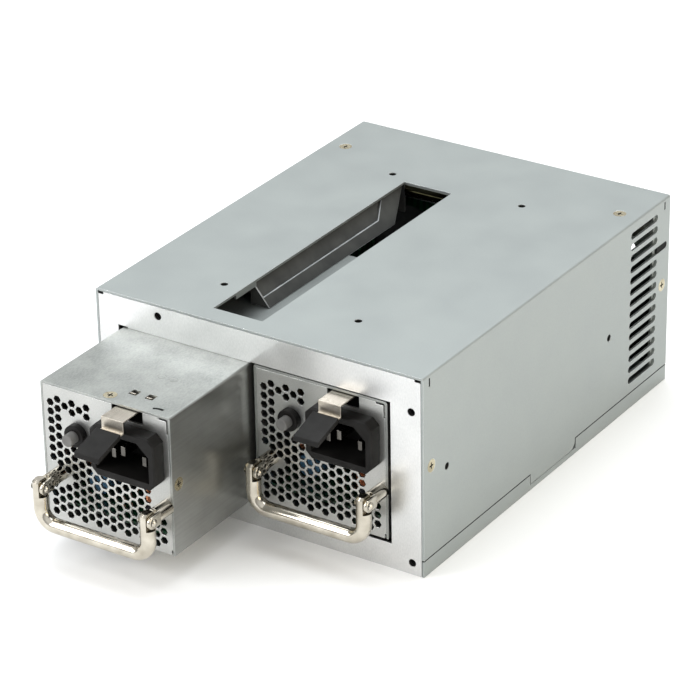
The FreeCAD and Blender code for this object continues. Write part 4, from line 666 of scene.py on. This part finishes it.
def tapped_holes():
    """The tapped holes of the housing as (centre at the surface, inward axis, radius) in millimetres."""
    holes = []
    for x in TOP_HOLES_X:
        for y in TOP_HOLES_Y:
            holes.append((Vector((x, y + FRONT_Y, COVER_TOP)), (0, 0, -1), COVER_HOLE_RADIUS))
    for side in (-1, 1):
        for y in SIDE_HOLES_Y:
            surface = Vector((side * COVER_SIDE, y + FRONT_Y, SIDE_HOLES_Z))
            holes.append((surface, (-side, 0, 0), COVER_HOLE_RADIUS))
    for x, z in FRONT_HOLES:
        holes.append((Vector((x, FRONT_Y, z)), (0, 1, 0), FRONT_HOLE_RADIUS))
    return holes


class PSU_OT_fasteners(PieceOperator, bpy.types.Operator):
    """Finishes the screws, standoffs and latch rivets, and threads the tapped holes"""

    bl_idname = "psu.fasteners"
    bl_label = "Fasteners"

    def execute(self, context):
        darken_recesses(rolled("housing_screws", "yellow_zinc", 0.06, 1), *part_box("top_cover"))
        bm = bmesh.new()
        for surface, inward, radius in tapped_holes():
            # Metric threads run as ridges down each tapped hole, coloured near black as painted shade.
            wall = radius - 0.02
            profile = [(wall, 0.3)]
            for turn in range(4):
                start = 0.3 + THREAD_PITCH * turn
                profile += [(wall - 0.24, start + 0.25), (wall - 0.02, start + THREAD_PITCH)]
            profile += [(wall, 2.3), (wall, 0.3)]
            turned(bm, profile, surface * MM, inward, 24)
        place_piece("tapped_threads", bm, HOUSING, "thread_shadow")
        dress("backplane_screws", "yellow_zinc")
        dress("backplane_standoffs", "nickel_plate")
        for side in SIDES:
            screws = rolled(side + "_cover_screws", "yellow_zinc", 0.06, 1)
            darken_recesses(screws, *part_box(side + "_module_cover"))
            dress(side + "_latch_anchor", "module_sheet")
        return {"FINISHED"}


class PSU_OT_duct_liner(PieceOperator, bpy.types.Operator):
    """Rounds the folds of the black sheet beside the top slot, and adds its return and the rear lip"""

    bl_idname = "psu.duct_liner"
    bl_label = "Duct liner"

    def execute(self, context):
        # The liner's rolled folds get a light grey: a painted highlight along each fold.
        rolled("duct_liner", "black_sheet", 0.3, 2, "fold_highlight")
        rear = SLOT_END_Y + FRONT_Y
        bm = bmesh.new()
        # The liner's return closes the corner beside the slot's rear lip.
        block(bm, Vector((RETURN_LEFT_X, rear + 0.5, RETURN_LOW)) * MM,
              Vector((SLOT_LEFT_X - 0.3, rear + 1.2, RETURN_HIGH)) * MM)
        place_piece("liner_return", bm, HOUSING, "black_sheet")
        bm = bmesh.new()
        # The slot's rear lip faces the dark duct; its dark olive colour is painted shade and a painted reflection
        # of the duct. A bead is pressed along it.
        low = Vector((SLOT_LEFT_X + 0.3, rear - 0.25, REAR_LIP_LOW))
        high = Vector((SLOT_RIGHT_X - 0.3, rear - 0.1, REAR_LIP_HIGH))
        block(bm, low * MM, high * MM)
        block(bm, Vector((low.x, rear - 0.6, BEAD_LOW)) * MM, Vector((high.x, rear - 0.25, BEAD_HIGH)) * MM)
        place_piece("slot_lip_face", bm, HOUSING, "shaded_steel")
        return {"FINISHED"}


class PSU_OT_inlets(PieceOperator, bpy.types.Operator):
    """Rounds the moulded mains inlets and their contacts, and adds the leads behind them"""

    bl_idname = "psu.inlets"
    bl_label = "Mains inlets"

    def execute(self, context):
        width = context.scene.psu_sizes.mould_roll
        for side in SIDES:
            rolled(side + "_inlet_body", "black_moulding", width, 3)
            rolled(side + "_inlet_pins", "shaded_tinned_pin", 0.3)
            origin = module_origin(side)
            for index in range(3):
                # The three leads run side by side along a given route, from the inlet to the board.
                shift = index * LEAD_SPACING
                points = [at(origin, 34.5 - shift, 20.5, 37.5), at(origin, 33.0 - shift, 24.0, 37.0),
                          at(origin, 24.0 - shift, 16.0, 28.0), at(origin, 17.0 - shift, 11.0, 21.5),
                          at(origin, 9.0 - shift * 0.5, 15.0, 19.5), at(origin, 6.5, 24.0 + shift, 12.0),
                          at(origin, 6.5, 26.0 + shift, 7.0)]
                wire_piece(f"{side}_inlet_lead_{index}", points, LEAD_RADIUS, side + "_module",
                           "enamelled_copper")
        return {"FINISHED"}


class PSU_OT_latches(PieceOperator, bpy.types.Operator):
    """Rolls the edges of the latch strips and rounds the thumb tabs"""

    bl_idname = "psu.latches"
    bl_label = "Latches"

    def execute(self, context):
        for side in SIDES:
            rolled(side + "_latch_spring", "satin_strip", 0.12)
            rolled(side + "_latch_tab", "black_moulding", 0.5, 3)
        return {"FINISHED"}


class PSU_OT_buttons(PieceOperator, bpy.types.Operator):
    """Smooths the push-buttons and their bezels"""

    bl_idname = "psu.buttons"
    bl_label = "Push-buttons"

    def execute(self, context):
        for side in SIDES:
            rolled(side + "_button_bezel", "black_moulding", 0.15)
            rolled(side + "_button_plunger", "grey_button", 0.15)
        return {"FINISHED"}


class PSU_OT_handles(PieceOperator, bpy.types.Operator):
    """Bends the bail's rod, laps its ends on the posts and seats the domed rivets"""

    bl_idname = "psu.handles"
    bl_label = "Handles"

    def execute(self, context):
        bend = context.scene.psu_sizes.handle_bend
        for side in SIDES:
            self.bail(side, bend)
            self.posts(side)
            self.rivets(side)
        return {"FINISHED"}

    def bail(self, side, bend):
        """The bent rod, with chamfered ends that lap the posts."""
        low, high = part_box(side + "_handle_bail")
        pivot = JOINT_AT[side + "_handle_swing"]
        radius = (high.y - low.y) / 2
        bevel = 1.0 * MM
        y = (low.y + high.y) / 2
        left, right = low.x + radius, high.x - radius
        bar = low.z + radius
        bm = bmesh.new()
        bmesh.ops.create_circle(bm, cap_ends=True, radius=radius - bevel, segments=32,
                                matrix=Matrix.Translation((left, y, high.z)))
        edges = list(bm.edges)

        def carry_on(edges, move, scale=1.0, about=None):
            made = bmesh.ops.extrude_edge_only(bm, edges=edges)["geom"]
            fresh = [item for item in made if isinstance(item, bmesh.types.BMVert)]
            if scale != 1.0:
                bmesh.ops.scale(bm, vec=(scale, scale, 1.0), verts=fresh, space=Matrix.Translation(-about))
            bmesh.ops.translate(bm, verts=fresh, vec=move)
            return [item for item in made if isinstance(item, bmesh.types.BMEdge)
                    and all(vert in fresh for vert in item.verts)]

        def turn(edges, centre, axis):
            verts = each_once(vert for edge in edges for vert in edge.verts)
            made = bmesh.ops.spin(bm, geom=verts + edges, cent=centre, axis=axis, angle=math.pi / 2, steps=14)
            return [item for item in made["geom_last"] if isinstance(item, bmesh.types.BMEdge)]

        grow = radius / (radius - bevel)
        edges = carry_on(edges, (0, 0, -bevel), grow, Vector((left, y, high.z)))
        edges = carry_on(edges, (0, 0, bar + bend - (high.z - bevel)))
        edges = turn(edges, (left + bend, y, bar + bend), (0, -1, 0))
        edges = carry_on(edges, (right - left - 2 * bend, 0, 0))
        edges = turn(edges, (right - bend, y, bar + bend), (0, -1, 0))
        edges = carry_on(edges, (0, 0, high.z - bevel - bar - bend))
        edges = carry_on(edges, (0, 0, bevel), 1 / grow, Vector((right, y, high.z - bevel)))
        bmesh.ops.edgeloop_fill(bm, edges=edges)
        bmesh.ops.recalc_face_normals(bm, faces=bm.faces)
        put_in_order(bm)
        bail = place_piece(side + "_bail_rod", bm, side + "_handle", "nickel_plate",
                           (side + "_handle_bail",))
        cutter = bmesh.new()
        # The right flank of each end is milled away down to a shoulder, to lap the post's tongue.
        for x in (left, right):
            block(cutter, (x + LAP_FACE * MM, y - 2 * radius, pivot.z - LAP_BELOW * MM),
                  (x + 2 * radius, y + 2 * radius, high.z + radius))
        cut_away(bail, cutter)

    def posts(self, side):
        """The posts up to their shoulders, and the round-ended tongue on the right of each."""
        low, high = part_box(side + "_handle_bail")
        pivot = JOINT_AT[side + "_handle_swing"]
        radius = (high.y - low.y) / 2
        posts = rolled(side + "_handle_posts", "nickel_plate", 0.15)
        cutter = bmesh.new()
        for x in (low.x + radius, high.x - radius):
            block(cutter, (x - 2 * radius, pivot.y - 2 * radius, pivot.z - 2 * radius),
                  (x + 2 * radius, pivot.y + SHOULDER_BACK * MM, pivot.z + 2 * radius))
        cut_away(posts, cutter)
        bm = bmesh.new()
        for x in (low.x + radius, high.x - radius):
            start = x + (LAP_FACE + LAP_GAP) * MM
            corners = [(pivot.y + TONGUE_BACK * MM, pivot.z - TONGUE_RADIUS * MM),
                       (pivot.y + TONGUE_BACK * MM, pivot.z + TONGUE_RADIUS * MM)]
            for step in range(17):
                angle = math.pi / 2 + math.pi * step / 16
                corners.append((pivot.y + math.cos(angle) * TONGUE_RADIUS * MM,
                                pivot.z + math.sin(angle) * TONGUE_RADIUS * MM))
            face = bm.faces.new([bm.verts.new((start, y, z)) for y, z in corners])
            made = bmesh.ops.extrude_face_region(bm, geom=[face])["geom"]
            fresh = [item for item in made if isinstance(item, bmesh.types.BMVert)]
            bmesh.ops.translate(bm, verts=fresh, vec=(radius - (LAP_FACE + 2 * LAP_GAP) * MM, 0, 0))
        bmesh.ops.recalc_face_normals(bm, faces=bm.faces)
        sharp = [edge for edge in bm.edges if edge.calc_face_angle() > math.radians(60)]
        bmesh.ops.bevel(bm, geom=sharp, offset=0.4 * MM, offset_type="OFFSET", segments=3, profile=0.5,
                        affect="EDGES", clamp_overlap=True, material=-1)
        place_piece(side + "_post_tongues", bm, side + "_module", "nickel_plate")

    def rivets(self, side):
        """The domed rivets that the bail swings on."""
        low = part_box(side + "_handle_pins")[0]
        pivot = JOINT_AT[side + "_handle_swing"]
        bail_low, bail_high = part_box(side + "_handle_bail")
        radius = (bail_high.y - bail_low.y) / 2
        bm = bmesh.new()
        reach = (bail_low.x - low.x) / MM
        half = radius / MM
        for x in (bail_low.x + radius, bail_high.x - radius):
            centre = Vector((x, pivot.y, pivot.z))
            dome = [(0.0, half + reach), (0.6, half + reach - 0.08), (1.15, half + reach - 0.35),
                    (1.5, half + reach - 0.75), (1.55, half + 0.1), (1.0, half + 0.1)]
            turned(bm, dome + [(r, -d) for r, d in reversed(dome)], centre, (1, 0, 0))
        place_piece(side + "_rivets", bm, side + "_module", "nickel_plate",
                    (side + "_handle_pins",))


def cut_away(target, cutter):
    """Cuts a bmesh's blocks out of a piece."""
    mesh = bpy.data.meshes.new("cutter")
    cutter.to_mesh(mesh)
    cutter.free()
    tool = bpy.data.objects.new("cutter", mesh)
    bpy.context.scene.collection.objects.link(tool)
    cut = target.modifiers.new("cut", "BOOLEAN")
    cut.operation = "DIFFERENCE"
    cut.solver = "EXACT"
    cut.object = tool
    bpy.context.view_layer.update()
    shape = bpy.data.meshes.new_from_object(target.evaluated_get(bpy.context.evaluated_depsgraph_get()))
    target.modifiers.clear()
    old = target.data
    target.data = shape
    for polygon in shape.polygons:
        polygon.material_index = 0
    bpy.data.meshes.remove(old)
    shade(shape)
    bpy.data.objects.remove(tool)
    bpy.data.meshes.remove(mesh)


class PSU_OT_fans(PieceOperator, bpy.types.Operator):
    """Shapes each fan's hub and curved blades, and rounds its frame"""

    bl_idname = "psu.fans"
    bl_label = "Fans"

    def execute(self, context):
        for side in SIDES:
            rolled(side + "_fan_frame", "black_moulding", 0.4)
            low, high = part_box(side + "_fan_rotor")
            pivot = JOINT_AT[side + "_fan_spin"]
            tip = (high.x - low.x) / 2 / MM
            length = (high.y - low.y) / MM
            depth = WHEEL_DEPTH
            hub = WHEEL_HUB
            centre = Vector((pivot.x, low.y, pivot.z))
            bm = bmesh.new()
            turned(bm, [(0.0, 0.0), (hub - 1.2, 0.0), (hub - 0.3, 0.4), (hub, 1.4), (hub, depth),
                        (hub - 1.0, depth), (hub - 1.0, 2.0), (WHEEL_SHAFT, 2.0), (WHEEL_SHAFT, length),
                        (0.0, length)],
                   centre, (0, 1, 0), 40)
            for index in range(BLADES):
                start = math.tau * index / BLADES
                grid = bmesh.ops.create_grid(bm, x_segments=6, y_segments=10, size=0.5)["verts"]
                for vert in grid:
                    out, along = vert.co.x + 0.5, vert.co.y + 0.5
                    radius = hub - 0.3 + (tip - hub + 0.2) * out
                    lean = start + math.radians(46 + 14 * out) * (along ** 1.3) - 0.35 * out
                    vert.co = centre + Vector((radius * math.cos(lean), 1.0 + (depth - 2.0) * along,
                                               radius * math.sin(lean))) * MM
                faces = each_once(face for vert in grid for face in vert.link_faces)
                bmesh.ops.solidify(bm, geom=faces, thickness=BLADE_THICK * MM)
            bmesh.ops.recalc_face_normals(bm, faces=bm.faces)
            put_in_order(bm)
            place_piece(side + "_fan_wheel", bm, side + "_fan", "black_moulding",
                        (side + "_fan_rotor",))
        return {"FINISHED"}


class PSU_OT_electronics(PieceOperator, bpy.types.Operator):
    """Finishes what shows through the perforation: boards, cans, windings and heat sinks"""

    bl_idname = "psu.electronics"
    bl_label = "Module electronics"

    def execute(self, context):
        for side in SIDES:
            dress(side + "_circuit_board", "green_board")
            dress(side + "_heat_sinks", "extruded_aluminium")
            rolled(side + "_bulk_capacitor", "blue_sleeve", 0.3)
            rolled(side + "_transformer", "amber_tape", 0.4)
            self.windings(side)
            self.edge_fingers(side)
        return {"FINISHED"}

    def windings(self, side):
        """The choke: a flanged ferrite core with turns of wire round its upper part."""
        low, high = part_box(side + "_line_filter")
        radius = (high.y - low.y) / 2 / MM
        height = (high.z - low.z) / MM
        y = (low.y + high.y) / 2
        foot = Vector(((low.x + high.x) / 2, y, low.z))
        neck = radius - CHOKE_FLANGE
        core = bmesh.new()
        turned(core, [(0.0, 0.0), (radius, 0.0), (radius, 1.0), (neck, 1.2), (neck, height - 1.0),
                      (radius, height - 0.8), (radius, height), (0.0, height)], foot, (0, 0, 1), 24)
        coil = bmesh.new()
        half = WIRE_ACROSS / 2
        turn = height * COIL_START_SHARE
        while turn < height - COIL_BELOW_TOP:
            turned(coil, [(neck, turn - half), (radius - 0.3, turn - half), (radius - 0.05, turn),
                          (radius - 0.3, turn + half), (neck, turn + half)], foot, (0, 0, 1), 24)
            turn += COIL_PITCH
        place_piece(side + "_choke_cores", core, side + "_module", "dark_ferrite",
                    (side + "_line_filter",))
        place_piece(side + "_choke_windings", coil, side + "_module", "enamelled_copper")

    def edge_fingers(self, side):
        """The gold contacts on both faces of the board's tongue."""
        low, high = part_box(side + "_circuit_board")
        cover_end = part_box(side + "_module_cover")[1].y
        bm = bmesh.new()
        middle = (low.x + high.x) / 2
        thick = 0.04 * MM
        half = FINGER_WIDTH / 2 * MM
        for index in range(FINGERS):
            x = middle + (index - (FINGERS - 1) / 2) * FINGER_PITCH * MM
            for z in (low.z - thick, high.z):
                block(bm, (x - half, cover_end + 1.0 * MM, z), (x + half, high.y - 0.6 * MM, z + thick))
        place_piece(side + "_edge_fingers", bm, side + "_module", "gold_plate")


class PSU_OT_backplane(PieceOperator, bpy.types.Operator):
    """Finishes the upright board behind the modules and everything on it"""

    bl_idname = "psu.backplane"
    bl_label = "Backplane"

    def execute(self, context):
        dress("backplane_board", "green_board")
        rolled("backplane_sockets", "black_moulding", 0.25)
        rolled("output_headers", "white_nylon", 0.2)
        rolled("output_capacitors", "blue_sleeve", 0.4)
        rolled("alarm_buzzer", "black_moulding", 0.3)
        rolled("outlet_grommet", "black_rubber", 0.3)
        return {"FINISHED"}


class PSU_OT_stage(PieceOperator, bpy.types.Operator):
    """Lays the pale floor and sets the soft lights and the camera"""

    bl_idname = "psu.stage"
    bl_label = "Stage"

    def execute(self, context):
        scene = context.scene
        scene.view_settings.view_transform = "Standard"
        bm = bmesh.new()
        bmesh.ops.create_grid(bm, x_segments=1, y_segments=1, size=3.0)
        mesh = bpy.data.meshes.new("floor")
        bm.to_mesh(mesh)
        bm.free()
        mesh.materials.append(studio_paper("studio_paper", scene.psu_colours.paper))
        floor = bpy.data.objects.new("floor", mesh)
        scene.collection.objects.link(floor)
        world = bpy.data.worlds.new("studio")
        world.use_nodes = True
        world.node_tree.nodes.clear()
        # The room is bright overhead and dimmer towards the horizon, which gives the bright rods dark flanks.
        place = add(world.node_tree, "ShaderNodeTexCoord")
        height = add(world.node_tree, "ShaderNodeSeparateXYZ", {"Vector": place.outputs["Generated"]})
        level = add(world.node_tree, "ShaderNodeMapRange",
                    {"Value": height.outputs["Z"], "From Min": 0.0, "From Max": 0.55,
                     "To Min": 0.38, "To Max": 0.95})
        sky = add(world.node_tree, "ShaderNodeBackground", {"Color": opaque(srgb("#FBFCFD")),
                                                            "Strength": level.outputs["Result"]})
        add(world.node_tree, "ShaderNodeOutputWorld", {"Surface": sky.outputs["Background"]})
        scene.world = world
        self.soft_light("overhead", (-0.2, 0.3, 1.2), (0.0, 0.0, 0.04), 1.2, 9.1, srgb("#F6FCFF"))
        self.soft_light("left_front", (-0.9, -1.1, 0.6), (0.0, -0.05, 0.04), 0.9, 9.3, srgb("#FBFCFF"))
        self.soft_light("right_fill", (1.3, -0.1, 0.5), (0.0, 0.0, 0.04), 0.9, 7.1, srgb("#FFF3D8"))
        # A small bright panel gives the bent rods of the handles their white streaks.
        self.soft_light("rod_glint", (-0.75, -0.68, 1.12), (0.0, -0.1, 0.03), 0.3, 2.0, srgb("#FFFFFF"))
        self.camera(scene)
        return {"FINISHED"}

    def soft_light(self, name, place, target, size, power, colour):
        light = bpy.data.lights.new(name, "AREA")
        light.shape = "DISK"
        light.size = size
        light.energy = power
        light.color = colour
        lamp = bpy.data.objects.new(name, light)
        lamp.location = place
        lamp.rotation_euler = (Vector(target) - Vector(place)).to_track_quat("-Z", "Y").to_euler()
        bpy.context.scene.collection.objects.link(lamp)

    def camera(self, scene):
        lens = bpy.data.cameras.new("camera")
        lens.sensor_width = 36.0
        lens.lens = scene.psu_sizes.lens
        lens.clip_end = 20.0
        view = bpy.data.objects.new("camera", lens)
        azimuth, elevation, roll = (math.radians(angle) for angle in CAMERA_TURN)
        turn = Matrix.Rotation(azimuth, 4, "Z") @ Matrix.Rotation(math.pi / 2 - elevation, 4, "X")
        view.matrix_world = Matrix.Translation(CAMERA_PLACE) @ turn @ Matrix.Rotation(roll, 4, "Z")
        scene.collection.objects.link(view)
        scene.camera = view


OPERATORS = (
    PSU_OT_sheet_metal, PSU_OT_stampings, PSU_OT_fasteners, PSU_OT_duct_liner, PSU_OT_inlets, PSU_OT_latches,
    PSU_OT_buttons, PSU_OT_handles, PSU_OT_fans, PSU_OT_electronics, PSU_OT_backplane, PSU_OT_stage,
)


class PSU_PT_panel(bpy.types.Panel):
    """Lists the colours, the sizes and the pieces"""

    bl_idname = "PSU_PT_panel"
    bl_label = "Power Supply"
    bl_space_type = "VIEW_3D"
    bl_region_type = "UI"
    bl_category = "Power Supply"

    def draw(self, context):
        layout = self.layout
        for group in (context.scene.psu_colours, context.scene.psu_sizes):
            for name in group.__annotations__:
                layout.prop(group, name)
        for operator in OPERATORS:
            layout.operator(operator.bl_idname)


CLASSES = (PSUColours, PSUSizes, *OPERATORS, PSU_PT_panel)


def register():
    for cls in CLASSES:
        bpy.utils.register_class(cls)
    bpy.types.Scene.psu_colours = PointerProperty(type=PSUColours)
    bpy.types.Scene.psu_sizes = PointerProperty(type=PSUSizes)


def unregister():
    del bpy.types.Scene.psu_sizes
    del bpy.types.Scene.psu_colours
    for cls in reversed(CLASSES):
        bpy.utils.unregister_class(cls)


def main():
    register()
    for operator in OPERATORS:
        group, name = operator.bl_idname.split(".")
        getattr(getattr(bpy.ops, group), name)()


if __name__ == "__main__":
    main()
